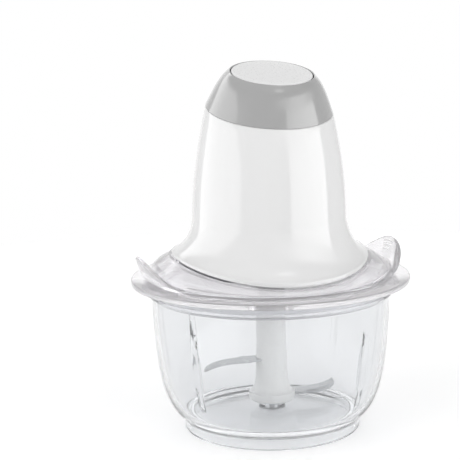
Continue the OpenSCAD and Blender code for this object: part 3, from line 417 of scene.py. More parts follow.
def bump_on(tree, value, depth):
    """A bump of the given depth in metres."""
    bump = tree.nodes.new("ShaderNodeBump")
    bump.inputs["Strength"].default_value = 1.0
    bump.inputs["Distance"].default_value = depth
    tree.links.new(value, bump.inputs["Height"])
    return bump.outputs["Normal"]


def moulded(name, base, roughness, vary=0.015, grain=900.0, depth=2e-6, coat=0.0):
    """Moulded plastic or rubber: slight tone drift, uneven gloss and a fine skin grain."""
    mat, tree, shader = new_material(name)
    drift = noise_on(tree, DRIFT_CELLS, 3.0)
    skin = noise_on(tree, grain)
    tree.links.new(varied_colour(tree, drift, base, vary), shader.inputs["Base Color"])
    tree.links.new(uneven(tree, skin, roughness, 0.15), shader.inputs["Roughness"])
    tree.links.new(bump_on(tree, skin, depth), shader.inputs["Normal"])
    shader.inputs["IOR"].default_value = PLASTIC_IOR
    shader.inputs["Coat Weight"].default_value = coat
    shader.inputs["Coat Roughness"].default_value = COAT_ROUGHNESS
    return mat


def worked_metal(name, base, roughness, stretch=(1, 1, 1), grain=1500.0, vary=0.08, depth=3e-6):
    """Bare metal with the lines of grinding or turning in it."""
    mat, tree, shader = new_material(name)
    lines = noise_on(tree, grain, 3.0, stretch)
    tree.links.new(varied_colour(tree, lines, base, vary), shader.inputs["Base Color"])
    tree.links.new(uneven(tree, lines, roughness, 0.3), shader.inputs["Roughness"])
    tree.links.new(bump_on(tree, lines, depth), shader.inputs["Normal"])
    shader.inputs["Metallic"].default_value = 1.0
    return mat


def clear_plastic(name, tint, roughness, ior, clarity, shade):
    """Clear moulded plastic with faint flow marks and a little haze; lamps shine through it."""
    mat, tree, shader = new_material(name)
    flow = noise_on(tree, FLOW_CELLS, stretch=FLOW_STRETCH)
    tree.links.new(varied_colour(tree, flow, tint, FLOW_TINT), shader.inputs["Base Color"])
    tree.links.new(uneven(tree, flow, roughness, 0.4), shader.inputs["Roughness"])
    tree.links.new(bump_on(tree, flow, FLOW_DEPTH), shader.inputs["Normal"])
    shader.inputs["Transmission Weight"].default_value = clarity
    shader.inputs["IOR"].default_value = ior
    rays = tree.nodes.new("ShaderNodeLightPath")
    lit = tree.nodes.new("ShaderNodeBsdfTransparent")
    lit.inputs["Color"].default_value = (*[t * shade for t in tint], 1)
    mix = tree.nodes.new("ShaderNodeMixShader")
    tree.links.new(rays.outputs["Is Shadow Ray"], mix.inputs["Fac"])
    tree.links.new(shader.outputs["BSDF"], mix.inputs[1])
    tree.links.new(lit.outputs["BSDF"], mix.inputs[2])
    out = tree.nodes["Material Output"]
    tree.links.new(mix.outputs["Shader"], out.inputs["Surface"])
    return mat


_finishes = {}


def finish(slot):
    """The material of a slot of the record, made once."""
    if slot in _finishes:
        return _finishes[slot]
    c = colours()
    along, turned_lines = (0.08, 1, 1), (1, 1, 0.02)
    makers = {
        "clear_bowl": lambda: clear_plastic("clear bowl plastic", c.clear, 0.03, ior=1.36, clarity=0.96,
                                            shade=1.0),
        "clear_lid": lambda: clear_plastic("clear lid plastic", c.clear_lid, 0.03, ior=1.33, clarity=0.80,
                                           shade=0.9),
        "seal_silicone": lambda: moulded("seal silicone", (0.72, 0.72, 0.74), 0.45),
        "polished_steel": lambda: worked_metal("ground steel", c.steel, 0.16, turned_lines),
        "white_hub": lambda: moulded("hub white plastic", c.hub, 0.28, 0.02),
        "blade_steel": lambda: worked_metal("blade steel", c.steel, 0.22, along),
        "white_shell": lambda: moulded("housing gloss white", c.shell, 0.10, 0.006, 420.0, 6e-7, coat=0.4),
        # Painted shade: the base is dark grey so that the seam under the skirt shows as a shadow line
        "base_plastic": lambda: moulded("base grey plastic", c.base, 0.35),
        "grey_collar": lambda: moulded("collar satin grey", c.collar, 0.22, 0.012, 1400.0, coat=1.0),
        "white_button": lambda: moulded("button satin white", c.button, 0.30, 0.004, 1400.0, 4e-7),
        "grey_rubber": lambda: moulded("gland rubber", c.rubber, 0.6, 0.03, 1200.0, 6e-6),
        "zinc_screw": lambda: worked_metal("zinc plate", (0.52, 0.53, 0.50), 0.32),
        "bronze": lambda: worked_metal("sintered bronze", (0.46, 0.29, 0.14), 0.5),
        "black_rubber": lambda: moulded("seal rubber", (0.02, 0.02, 0.02), 0.6, 0.05),
        "dark_nylon": lambda: moulded("glass filled nylon", (0.045, 0.05, 0.055), 0.5, 0.06),
        "cast_carrier": lambda: worked_metal("cast carrier", (0.42, 0.43, 0.44), 0.45),
        "pale_nylon": lambda: moulded("pale nylon", (0.62, 0.58, 0.47), 0.4, 0.03),
        "gear_brass": lambda: worked_metal("gear brass", (0.68, 0.48, 0.18), 0.28, turned_lines),
        "lamination": lambda: worked_metal("stacked laminations", (0.20, 0.21, 0.22), 0.5, (0.05, 0.05, 1.4)),
        "enamel_copper": lambda: moulded("enamelled wire", (0.28, 0.08, 0.025), 0.35, 0.25, 1600.0, 3e-5),
        "commutator_copper": lambda: worked_metal("turned copper", (0.70, 0.33, 0.18), 0.3, turned_lines),
        "black_plastic": lambda: moulded("black plastic", (0.018, 0.018, 0.02), 0.4, 0.06),
        "brown_plastic": lambda: moulded("brown plastic", (0.11, 0.045, 0.02), 0.45, 0.06),
        "carbon": lambda: moulded("pressed carbon", (0.02, 0.02, 0.02), 0.7, 0.2, 2200.0, 6e-6),
        "spring_steel": lambda: worked_metal("spring wire", (0.5, 0.5, 0.51), 0.25),
        "board_plastic": lambda: moulded("pressed board", (0.35, 0.25, 0.12), 0.55, 0.08),
        "yellow_plastic": lambda: moulded("yellow plastic", (0.58, 0.38, 0.03), 0.4, 0.03),
    }
    _finishes[slot] = makers[slot]()
    return _finishes[slot]


# Bowl

RIB_COUNT = 4
RIB_TURN = math.radians(-59)


def rib_angles():
    return [RIB_TURN + 2 * math.pi * i / RIB_COUNT for i in range(RIB_COUNT)]


def from_rib(a):
    """The turn from an angle to the nearest rib's middle."""
    return min(abs((a - t + math.pi) % (2 * math.pi) - math.pi) for t in rib_angles())


def bowl_angles(s):
    """Even angles, with finer ones across each rib."""
    half, rib_r = s.rib_w / 2, s.bowl_r - s.rib_in
    across = [0.0] + [side * (half + d) for side in (-1, 1) for d in (-0.6, -0.2, 0.1, 0.4, 0.8)]
    fine = [(t + d / rib_r) % (2 * math.pi) for t in rib_angles() for d in across]
    clear = (half + 3 * s.edge) / rib_r
    return sorted([a for a in circle_angles(s.segments) if from_rib(a) > clear] + fine)


def bowl_profile(s):
    """Radius, height and rib depth, from under the floor round the rim to the boss of the pin."""
    foot_join, foot_in = s.foot_r - s.foot_round, s.foot_r - s.foot_w
    rim, z_rim = s.bowl_r + s.rim_lip, s.bowl_h - s.rim_h
    z_wall = z_rim - s.rim_slope
    z_curve = z_wall - s.straight_wall
    heel, belly = s.bowl_r - s.heel_in, s.bowl_r - s.belly_in
    z_in = s.z_floor - s.bowl_wall / 2
    outer = bezier([(foot_join, s.foot_h), (heel, s.foot_h + s.heel_up), (belly, s.foot_h + s.belly_up),
                    (s.bowl_r, z_curve)], 30)
    inner = bezier([(foot_join - s.bowl_wall, s.z_floor), (heel - s.bowl_wall, z_in + s.heel_up),
                    (belly - s.bowl_wall, z_in + s.belly_up), (s.mouth_r, z_curve)], 40)
    foot = softened([(0, s.foot_h), (foot_in, s.foot_h), (foot_in, 0), (s.foot_r - s.toe_w, 0),
                     (s.foot_r, s.toe_h), (s.foot_r - s.foot_draft, s.foot_h - s.foot_neck), outer[2]],
                    s.wide_soft)[:-1]
    mouth = softened([outer[-1], (s.bowl_r, z_wall), (rim, z_rim), (rim, s.bowl_h), (s.mouth_r, s.bowl_h),
                      inner[-1]], s.wide_soft)[1:-1]
    points = [(p[0], p[1], 0) for p in foot + outer[2:] + mouth]
    for p in reversed(inner):
        u = (p.y - s.z_floor - s.rib_up) / s.rib_h
        crescent = (s.rib_depth + s.rib_sink) * 4 * u * (1 - u) - s.rib_sink
        points.append((p.x, p.y, max(0.0, crescent)))
    boss = softened([(inner[0].x, s.z_floor), (s.boss_r, s.z_floor), (s.boss_r, s.z_boss), (0, s.z_boss)],
                    s.fine_soft)[1:]
    return points + [(p[0], p[1], 0) for p in boss]


def bowl_rings(s):
    angles = bowl_angles(s)
    rings = []
    for r, z, depth in bowl_profile(s):
        ring = []
        for a in angles if r > TINY else [0.0]:
            beyond = from_rib(a) * r - s.rib_w / 2
            w = r - depth * (1 - smooth((beyond + s.rib_round) / (2 * s.rib_round)))
            ring.append((w * math.cos(a), w * math.sin(a), z))
        rings.append(ring)
    return rings


# Lid

DIP_POWER = 1.7
OUT_POWER, UP_POWER = 0.45, 0.8
FOLD_DIP, STEP_DIP, SHOULDER_DIP, UNDER_DIP, SEAT_DIP = 0.06, 0.17, 0.58, 0.6, 0.98


def edge_dip(s, y):
    """How far the skirt's edge and the lid's seat lie below their height at the sides."""
    return s.skirt_dip * max(0.0, (s.dip_end - y) / (s.dip_end + s.skirt_r)) ** DIP_POWER


def wing_shares(s, a):
    """Shares of a wing's reach out and up at an angle: all in its middle, none beyond its half turn."""
    off = min(a % math.pi, math.pi - a % math.pi)
    share = (1 + math.cos(math.pi * off / s.wing_turn)) / 2 if off < s.wing_turn else 0.0
    return share ** OUT_POWER, share ** UP_POWER


def wing_brow(s):
    """The row of the lid's section along the upper edge of a wing's inner face."""
    return (s.collar_r - s.edge, s.z_deck + 2 * s.edge, 0, s.wing_reach - s.wing_t + s.edge,
            s.wing_h - s.wing_t / 2 - 2 * s.edge)


def wing_fold(s):
    """The row of the lid's section along the lower edge of a wing's inner face."""
    return (s.shoulder_r + s.fold_out, s.z_deck + s.fold_up, FOLD_DIP, s.wing_reach - s.wing_t - s.fold_in,
            s.wing_h / 2 - s.fold_drop)


def wing_face(s, a):
    """Radius and height of the upper and lower edge of a wing's inner face."""
    share_out, share_up = wing_shares(s, a)
    edges = (wing_brow(s), wing_fold(s))
    return [Vector((r + share_out * out, z + share_up * up)) for r, z, _, out, up in edges]


def lid_profile(s):
    """Rows round the lid's section: radius, height, share of the front dip, and a wing's reach out and up."""
    hole, hole_out, hole_top = s.lid_hole_r, s.lid_hole_r + s.hole_wall, s.z_unit - s.gap
    plug = s.mouth_r - 2 * s.gap
    plug_in, groove_in = plug - s.lid_wall, plug - s.groove_d
    low, groove = s.z_flange - s.plug_h, s.z_flange - s.groove_drop
    flat = softened([(hole, s.z_flange), (plug_in, s.z_flange), (plug_in, low), (plug, low), (plug, groove),
                     (groove_in, groove), (groove_in, groove + s.groove_h), (plug, groove + s.groove_h),
                     (plug, s.z_flange), (s.flange_r, s.z_flange), (s.flange_r, s.z_deck),
                     (s.collar_r + 0.1, s.z_deck)], s.soft)
    collar, deck, reach, e = s.collar_r, s.z_deck, s.wing_reach, s.edge
    rows = [(p[0], p[1], 0, 0, 0) for p in flat]
    rows += [
        (collar, deck + 0.1, 0, s.wing_root, e),
        (collar, deck + 0.25, 0, reach / 2, s.wing_h / 5),
        (collar, deck + 0.4, 0, reach - s.wing_back, s.wing_h / 2),
        (collar, deck + e, 0, reach, s.wing_h - s.wing_t / 2 - e),
        (collar - 0.1, deck + 1.3 * e, 0, reach - 0.2, s.wing_h - 2.2 * e),
        (collar - e / 2, deck + 1.6 * e, 0, reach - s.wing_t / 2 + e / 2, s.wing_h - 1.6 * e),
        (collar - 0.8 * e, deck + 1.85 * e, 0, reach - s.wing_t + 0.2 + e, s.wing_h - 2.7 * e),
        wing_brow(s),
    ]
    top, b, seat_in = s.z_skirt - s.seam, s.seat_round, s.seat_r - s.seat_wall
    shoulder = [
        rows[-1],
        wing_fold(s),
        (s.shoulder_r + s.step_out, deck + s.step_up, STEP_DIP, reach / 2 - s.fold_in, s.step_rise),
        (s.shoulder_r, top - s.shoulder_drop, SHOULDER_DIP, 0, 0),
        (s.seat_r + e, top - e, SEAT_DIP, 0, 0),
    ]
    rows += through(shoulder, 6)
    rows += [(s.seat_r + 0.75 * b, top - b / 2, 1, 0, 0), (s.seat_r - b, top, 1, 0, 0),
             (seat_in + b, top, 1, 0, 0), (seat_in, top - b, 1, 0, 0)]
    root = collar - e - s.lid_wall
    under = softened([(seat_in, top - b, 1),
                      (s.shoulder_r - s.lid_wall, top - s.shoulder_drop - e, UNDER_DIP),
                      (root, deck + e, 0), (root - 0.4, deck, 0), (hole_out, deck, 0),
                      (hole_out, hole_top, 0), (hole, hole_top, 0), (hole, s.z_flange + 0.4, 0)],
                     s.fine_soft)[1:]
    return rows + [(*p, 0, 0) for p in under]


def lid_rings(s):
    angles = circle_angles(s.segments * 3 // 2)
    rings = []
    for r, z, dip, out, up in lid_profile(s):
        ring = []
        for a in angles:
            share_out, share_up = wing_shares(s, a)
            w = r + share_out * out
            height = z - dip * edge_dip(s, s.skirt_r * math.sin(a)) + share_up * up
            ring.append((w * math.cos(a), w * math.sin(a), height))
        rings.append(ring)
    return rings


RIDGE_POINTS, RIDGE_SIDES = 9, 8
RIDGE_LOSS = 0.14


def grip_tree(material):
    """Node tree for a row of rounded ridges, each shorter than the one before, and its inputs by name."""
    tree = bpy.data.node_groups.new("Grip Ridges", "GeometryNodeTree")
    face = tree.interface
    face.new_socket("Geometry", in_out="OUTPUT", socket_type="NodeSocketGeometry")
    inputs = {}
    for name in ("Count", "Pitch", "Half Length", "Radius"):
        kind = "NodeSocketInt" if name == "Count" else "NodeSocketFloat"
        inputs[name] = face.new_socket(name, in_out="INPUT", socket_type=kind).identifier
    nodes = tree.nodes
    given, out = nodes.new("NodeGroupInput"), nodes.new("NodeGroupOutput")
    step, row = nodes.new("ShaderNodeCombineXYZ"), nodes.new("GeometryNodeMeshLine")
    end, path = nodes.new("ShaderNodeCombineXYZ"), nodes.new("GeometryNodeCurvePrimitiveLine")
    start = nodes.new("ShaderNodeVectorMath")
    start.operation = "SCALE"
    start.inputs["Scale"].default_value = -1.0
    finer = nodes.new("GeometryNodeResampleCurve")
    finer.inputs["Count"].default_value = RIDGE_POINTS
    section = nodes.new("GeometryNodeCurvePrimitiveCircle")
    section.inputs["Resolution"].default_value = RIDGE_SIDES
    bar = nodes.new("GeometryNodeCurveToMesh")
    bar.inputs["Fill Caps"].default_value = True
    spots, index = nodes.new("GeometryNodeInstanceOnPoints"), nodes.new("GeometryNodeInputIndex")
    shorter = nodes.new("ShaderNodeMath")
    shorter.operation = "MULTIPLY_ADD"
    shorter.inputs[1].default_value = -RIDGE_LOSS
    shorter.inputs[2].default_value = 1.0
    shape = nodes.new("ShaderNodeCombineXYZ")
    shape.inputs["Y"].default_value = 1.0
    shape.inputs["Z"].default_value = 1.0
    real = nodes.new("GeometryNodeRealizeInstances")
    paint = nodes.new("GeometryNodeSetMaterial")
    paint.inputs["Material"].default_value = material
    for source, output, target, entry in (
        (given, "Pitch", step, "Y"),
        (given, "Count", row, "Count"),
        (step, "Vector", row, "Offset"),
        (given, "Half Length", end, "X"),
        (end, "Vector", start, 0),
        (start, "Vector", path, "Start"),
        (end, "Vector", path, "End"),
        (path, "Curve", finer, "Curve"),
        (given, "Radius", section, "Radius"),
        (finer, "Curve", bar, "Curve"),
        (section, "Curve", bar, "Profile Curve"),
        (index, "Index", shorter, 0),
        (shorter, "Value", shape, "X"),
        (row, "Mesh", spots, "Points"),
        (bar, "Mesh", spots, "Instance"),
        (shape, "Vector", spots, "Scale"),
        (spots, "Instances", real, "Geometry"),
        (real, "Geometry", paint, "Geometry"),
        (paint, "Geometry", out, "Geometry"),
    ):
        tree.links.new(source.outputs[output], target.inputs[entry])
    return tree, inputs


# Motor unit

DIP_FADE = 1.4
BRIM_DIPS = (0.88, 0.86)
SPRING_TURNS, SPRING_STEPS, WIRE_SIDES = 4, 240, 10
CLOSED_SHARE = 0.08


def housing_ring(s, r, z, share, angles):
    """A ring that tilts towards the slanted neck and follows the dip near the edge."""
    up = smooth((z - s.z_waist) / (s.z_neck - s.z_waist))
    tilt, lean = s.slant * up, s.neck_lean * up
    ring = []
    for a in angles:
        y = r * math.sin(a)
        dip = share * edge_dip(s, s.skirt_r * math.sin(a))
        ring.append((r * math.cos(a), y * math.cos(tilt) - lean, z + y * math.sin(tilt) - dip))
    return ring


def housing_profile(s):
    """Radius, height and share of the dip, from inside the skirt up the outside and down the inside."""
    def share(z):
        top = s.z_waist - s.dip_margin
        return max(0.0, (top - z) / (top - s.z_skirt)) ** DIP_FADE
    skirt, waist, neck, w = s.skirt_r, s.waist_r, s.neck_r, s.shell_wall
    z_brim = s.z_skirt + s.brim_h
    flare = bezier([(skirt - s.brim_in, z_brim), (waist + s.flare_out, z_brim + s.flare_up),
                    (waist + s.waist_swell, s.z_waist - s.waist_drop), (waist, s.z_waist)], 28)
    wall = bezier([(waist, s.z_waist), (waist - s.gap, s.z_waist + s.wall_reach),
                   (neck + s.neck_swell, s.z_neck - s.wall_reach), (neck, s.z_neck)], 36)
    lip = softened([(skirt - w, s.z_skirt, 1), (skirt, s.z_skirt, 1),
                    (skirt - 0.2, z_brim - 0.25, BRIM_DIPS[0]),
                    (skirt - s.brim_in, z_brim, BRIM_DIPS[1])], s.edge)[:-1]
    rows = [tuple(p) for p in lip]
    rows += [(p.x, p.y, share(p.y)) for p in flare]
    rows += [(p.x, p.y, 0) for p in wall[1:-1]]
    rows += [(neck + 0.02, s.z_neck - 0.5, 0), (neck - 0.12, s.z_neck - 0.15, 0), (neck - 0.5, s.z_neck, 0),
             (neck - w, s.z_neck, 0)]
    rows += [(p.x - w, p.y, 0) for p in reversed(wall[:-1:4])]
    return rows + [(p.x - w, p.y, share(p.y)) for p in reversed(flare[:-1:3])]


def top_place(s):
    """Where the slanted top stands."""
    return Matrix.Translation((0, -s.neck_lean, s.z_neck)) @ Matrix.Rotation(s.slant, 4, "X")


def collar_profile(s):
    """Section of the grey collar: its shell, the button's guide and the ledge of the switch plate."""
    h, hole, guide, bore = s.top_h, s.hole_r, s.hole_r + s.guide_t, s.neck_r - s.shell_wall
    outer = bezier([(s.neck_r, s.seat_gap), (s.neck_r - s.collar_lean, s.collar_rise),
                    (hole + s.crown_out, h - s.crown_drop), (hole + s.crown_edge, h)], 40)
    inner = beside(outer, s.collar_wall)
    foot = [(s.neck_r - 0.45, s.seat_gap), (s.neck_r - 0.1, 0.25)]
    rim = softened([outer[-3], (hole + 0.5, h), (hole, h - 0.2), (hole, s.guide_z), (guide, s.guide_z),
                    (guide, h - s.guide_drop)], 0.5)[1:]
    ledge, spigot = bore - s.ledge_w, bore - s.gap
    spigot_in = spigot - s.spigot_t
    below = [(spigot, s.ledge_z), (ledge, s.ledge_z), (ledge, -s.ledge_drop), (spigot_in, -s.ledge_drop),
             (spigot_in, -s.spigot_drop), (spigot, -s.spigot_drop), (spigot, s.seat_gap)]
    return foot + outer[2:-2] + rim + [inner[i] for i in range(28, 2, -2)] + below


def button_profile(s):
    """Section of the push button, from under its roof to the middle of its crown."""
    r, inside, lip_r = s.button_r, s.button_r - s.button_wall, s.button_r + s.lip_reach
    lip = s.guide_z - s.gap - s.lip_h
    body = softened([(0, s.z_roof), (inside, s.z_roof), (inside, lip), (lip_r, lip), (lip_r, lip + s.lip_h),
                     (r, lip + s.lip_h), (r, s.z_button - 0.2)], 0.4)[:-1]
    flat_r, flat_z = r - s.button_round, s.z_button + s.button_proud
    bends = [math.radians(90 - 10 * i) for i in range(10)]
    edge = [(flat_r + s.button_round * math.sin(a), flat_z + s.button_rise * (math.cos(a) - 1))
            for a in bends]
    shares = [1 - i / 14 for i in range(1, 15)]
    return body + edge + [(flat_r * u, flat_z + s.button_rise * (1 - u * u)) for u in shares]


def spring_ends(s):
    """Heights of the button spring's ends along the slanted axis: on the switch plate and under the roof."""
    return s.plate_top + s.run_gap, s.z_roof - s.run_gap


def spring_rings(s):
    """Wire rings of the button spring, with its end turns closed up."""
    foot, roof = spring_ends(s)
    half, spot = s.spring_wire / 2, top_place(s)
    rings = []
    for k in range(SPRING_STEPS + 1):
        t = k / SPRING_STEPS
        a = 2 * math.pi * SPRING_TURNS * t
        z = foot + half + (roof - foot - s.spring_wire) * smooth((t - CLOSED_SHARE) / (1 - 2 * CLOSED_SHARE))
        ring = []
        for b in circle_angles(WIRE_SIDES):
            r = s.spring_r + half * math.cos(b)
            ring.append(spot @ Vector((r * math.cos(a), r * math.sin(a), z + half * math.sin(b))))
        rings.append(ring)
    return rings


# Blade unit

HUB_POINTS = 120
HOLLOW = 0.42


def hub_rings(s):
    """Rings of the blade hub, with the pin's bore below and the hexagonal drive socket above."""
    base, stem, e, bore = s.hub_base_r, s.hub_r, s.hub_bevel, s.pin_r + s.run_gap
    z_rim, z_bore, top = s.z_lower_blade + s.hub_rim_h, s.z_floor + s.pin_h + s.gap, s.z_hub_top
    flank = bezier([(base, z_rim), (stem + 2.5 * s.hub_swell, z_rim + s.hub_foot_up),
                    (stem + 1.5 * s.hub_swell, z_rim + s.hub_foot_h),
                    (stem + s.hub_swell, s.z_upper_blade + s.stem_swell_h)], 24)
    line = softened([(0, z_bore), (bore, z_bore), (bore, s.z_hub), (base - e, s.z_hub), (base, s.z_hub + e),
                     (base, z_rim)], s.edge)
    line += softened(flank + [(stem, s.z_upper_blade + s.stem_start), (stem, top), (stem - s.stem_rim, top)],
                     s.soft)[1:]
    flat = (s.hex_r + s.hex_gap) * math.cos(math.pi / 6)

    def hexagon(z, grow):
        ring = []
        for a in circle_angles(HUB_POINTS):
            r = (flat + grow) / math.cos(a % (math.pi / 3) - math.pi / 6)
            ring.append((r * math.cos(a), r * math.sin(a), z))
        return ring
    socket = top - s.hex_h - 2 * s.gap
    return turned(line, HUB_POINTS) + [hexagon(top, s.hex_bevel), hexagon(top - s.hex_bevel, 0),
                                       hexagon(socket, 0), [(0, 0, socket)]]


def blade_bmesh(s, z, turn):
    """A flat blade with a hollow-ground front edge, as strips from its front to its back."""
    t, half, reach, sweep, tip = s.blade_t, s.tang_w / 2, s.blade_reach, s.blade_sweep, s.tip_w
    root, start = half + s.root_w, s.hub_base_r + s.root_w
    tip_y = root + s.tip_back
    front = bezier([(start, -root), (start + sweep, -root - s.blade_belly), (reach - sweep / 2, tip - root),
                    (reach - 2 * tip, tip_y)], 30)
    back = bezier([(start, root), (start + sweep, root - 3 * tip), (reach - sweep, root - tip),
                   (reach - 3 * tip, tip_y)], 30)
    tang = (s.pin_r + s.run_gap + s.tang_wall, start - s.blade_neck)
    front = [Vector((x, -half)) for x in tang] + front
    back = [Vector((x, half)) for x in tang] + back
    spin = Matrix.Rotation(turn, 4, "Z")
    rings = []
    for i, (f, b) in enumerate(zip(front, back)):
        ground = smooth((i - 3) / 4)
        across = b - f
        bevel = min(s.bevel_w, across.length * 0.55) / max(across.length, TINY) * ground
        share = max(bevel, 0.02)
        middle, end = f + across * share / 2, f + across * share
        edge_t = t * (1 - ground) + s.blade_edge * ground
        middle_t = edge_t + (t - s.blade_edge) * HOLLOW * ground
        ring = [(f, 0), (f, edge_t), (middle, middle_t), (end, t), (b, t), (b, 0)]
        rings.append([spin @ Vector((p.x, p.y, z + up)) for p, up in ring])
    return skinned(rings, caps=True)


# Operators, one for each piece or group of like pieces

GLAND_POINTS = 72


class CHOPPER_OT_bowl(bpy.types.Operator):
    """Make the clear bowl with its foot ring, rim and inner ribs"""
    bl_idname = "chopper.bowl"
    bl_label = "Bowl"

    def execute(self, context):
        obj = to_object("bowl_clear", skinned(bowl_rings(sizes())))
        place(obj, "bowl", "clear_bowl", "bowl")
        return {"FINISHED"}


class CHOPPER_OT_lid(bpy.types.Operator):
    """Make the clear lid with its plug ring, raised collar and finger wings"""
    bl_idname = "chopper.lid"
    bl_label = "Lid"

    def execute(self, context):
        obj = to_object("lid_clear", skinned(lid_rings(sizes()), loop=True))
        place(obj, "lid", "clear_lid", "lid")
        return {"FINISHED"}


class CHOPPER_OT_grips(bpy.types.Operator):
    """Make the rows of grip ridges on the finger wings"""
    bl_idname = "chopper.grips"
    bl_label = "Grip Ridges"

    def execute(self, context):
        s = sizes()
        tree, inputs = grip_tree(finish("clear_lid"))
        mesh = bpy.data.meshes.new("wing_grips")
        obj = bpy.data.objects.new("wing_grips", mesh)
        context.scene.collection.objects.link(obj)
        mod = obj.modifiers.new("Grip Ridges", "NODES")
        mod.node_group = tree
        for name, value in (("Count", s.grips), ("Pitch", s.grip_pitch * MM),
                            ("Half Length", s.grip_half * MM), ("Radius", s.grip_r * MM)):
            mod[inputs[name]] = value
        baked(obj)
        self.bend(obj.data, s)
        place(obj, "lid", "clear_lid")
        return {"FINISHED"}

    @staticmethod
    def bend(mesh, s):
        """Lays the flat row on the inner face of both wings: x runs round a wing, y down it, z out of it."""
        bm = bmesh.new()
        bm.from_mesh(mesh)
        bmesh.ops.duplicate(bm, geom=bm.verts[:] + bm.edges[:] + bm.faces[:])
        half = len(bm.verts) // 2
        for i, v in enumerate(bm.verts):
            side = 1 if i < half else -1
            x, y, z = v.co / MM
            a = x / s.wing_r
            high, low = wing_face(s, a)
            down = (low - high).normalized()
            p = high + down * (y + s.grip_down) + Vector((down.y, -down.x)) * z
            v.co = Vector((side * p.x * math.cos(a), p.x * math.sin(a), p.y)) * MM
        bmesh.ops.recalc_face_normals(bm, faces=bm.faces)
        bm.to_mesh(mesh)
        bm.free()
        mesh.shade_smooth()


class CHOPPER_OT_blades(bpy.types.Operator):
    """Make the white blade hub and its two ground steel blades"""
    bl_idname = "chopper.blades"
    bl_label = "Blade Unit"

    def execute(self, context):
        s = sizes()
        hub = to_object("hub_white", skinned(hub_rings(s)))
        place(hub, "blade", "white_hub", "blade_hub")
        for name, z, turn in (("lower", s.z_lower_blade, 0.0), ("upper", s.z_upper_blade, math.pi)):
            blade = to_object(f"{name}_blade_ground", blade_bmesh(s, z, turn), 12.0)
            place(blade, "blade", "blade_steel", f"{name}_blade")
        return {"FINISHED"}


class CHOPPER_OT_housing(bpy.types.Operator):
    """Make the gloss white motor housing"""
    bl_idname = "chopper.housing"
    bl_label = "Motor Housing"

    def execute(self, context):
        s = sizes()
        angles = circle_angles(s.segments)
        rings = [housing_ring(s, r, z, share, angles) for r, z, share in housing_profile(s)]
        obj = to_object("housing_white", skinned(rings, loop=True))
        place(obj, "motor_unit", "white_shell", "motor_housing")
        return {"FINISHED"}


class CHOPPER_OT_top(bpy.types.Operator):
    """Make the grey collar and the push button on the slanted top"""
    bl_idname = "chopper.top"
    bl_label = "Collar and Button"

    def execute(self, context):
        s = sizes()
        spot = top_place(s)
        collar = to_object("collar_grey", skinned(turned(collar_profile(s), s.segments, spot), loop=True))
        place(collar, "motor_unit", "grey_collar", "top_collar")
        button = to_object("button_white", skinned(turned(button_profile(s), s.segments, spot)))
        place(button, "button", "white_button", "power_button")
        return {"FINISHED"}


class CHOPPER_OT_spring(bpy.types.Operator):
    """Make the button's coil spring between the switch plate and the button's roof"""
    bl_idname = "chopper.spring"
    bl_label = "Button Spring"

    def execute(self, context):
        s = sizes()
        obj = to_object("spring_coil", skinned(spring_rings(s), caps=True), 60.0)
        place(obj, "motor_unit", "spring_steel", "button_spring")
        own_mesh(obj)
        return {"FINISHED"}


class CHOPPER_OT_gland(bpy.types.Operator):
    """Make the rubber gland of the cord inlet at the back"""
    bl_idname = "chopper.gland"
    bl_label = "Cord Gland"

    def execute(self, context):
        s = sizes()
        bore, r = s.gland_bore, s.gland_bore + s.gland_wall
        rim, rim_r = s.gland_inner + s.shell_wall - s.edge, r + s.gland_rim
        end = s.gland_inner + s.shell_wall + s.gland_outer
        start = Vector((0, s.waist_r - s.shell_wall - s.gland_inner, s.z_waist + s.gland_lift))
        spot = Matrix.Translation(start) @ Matrix.Rotation(-math.pi / 2, 4, "X")
        line = softened([(bore, 0), (r, 0), (r, rim), (rim_r, rim), (rim_r, rim + s.gland_rim_t), (r, end),
                         (bore, end)], 0.5, closed=True)
        obj = to_object("gland_rubber", skinned(turned(line, GLAND_POINTS, spot), loop=True))
        place(obj, "motor_unit", "grey_rubber", "cord_gland")
        return {"FINISHED"}


class CHOPPER_OT_frame_finishes(bpy.types.Operator):
    """Give the solids that stay in view or inside their own finishes"""
    bl_idname = "chopper.frame_finishes"
    bl_label = "Frame Finishes"

    def execute(self, context):
        for part in frame["record"]["subparts"]:
            obj = frame["nodes"][part["node"]]
            material = finish(part["material_slot"])
            if not obj.material_slots:
                raise RuntimeError(f"{part['node']} has no material slot")
            for spot in obj.material_slots:
                spot.material = material
        return {"FINISHED"}


# What shows in the gloss: a band fades in from its first value to its second, and out from its third to
# its fourth; turns are degrees to the right of the camera's side, and heights are shares of straight up
LEFT_BOX, LEFT_BOX_TOP = (-127, -123, -47, -41), (0.50, 0.64)
LEFT_BOX_FADE, LEFT_BOX_LIGHT = (-123, -41), (1.45, 1.3)
LEFT_BOX_LEAN, LEFT_BOX_LEAN_TURN = (0.1, 0.6), 34.0
RIGHT_BOX, RIGHT_BOX_TOP = (28, 34, 92, 96), (0.22, 0.34)
RIGHT_BOX_FADE, RIGHT_BOX_LIGHT = (31, 75), (1.8, 2.4)
RIGHT_GLOW, RIGHT_GLOW_HEIGHT, RIGHT_GLOW_LIGHT = (0, 58, 58, 118), (0.24, 0.34, 0.46, 0.56), 1.8
SPOT, SPOT_HEIGHT, SPOT_LIGHT = (10, 24, 30, 46), (0.70, 0.78, 0.80, 0.90), 1.8
LEFT_FLAG, LEFT_FLAG_SHADE = (-152, -146, -130, -126), 0.10
RIGHT_FLAG, RIGHT_FLAG_SHADE = (94, 97, 150, 158), 0.20
ROOM_BACK, ROOM_LIGHT = (148, 158), (0.86, 1.0)
SKY, SKY_LIGHT = (0.6, 0.95), 0.3
SOFT_LIGHT = 0.45

# The floor's radius, and how far it is lifted to white where it is seen directly
FLOOR_R = 0.62
FLOOR_GLOW = 0.37

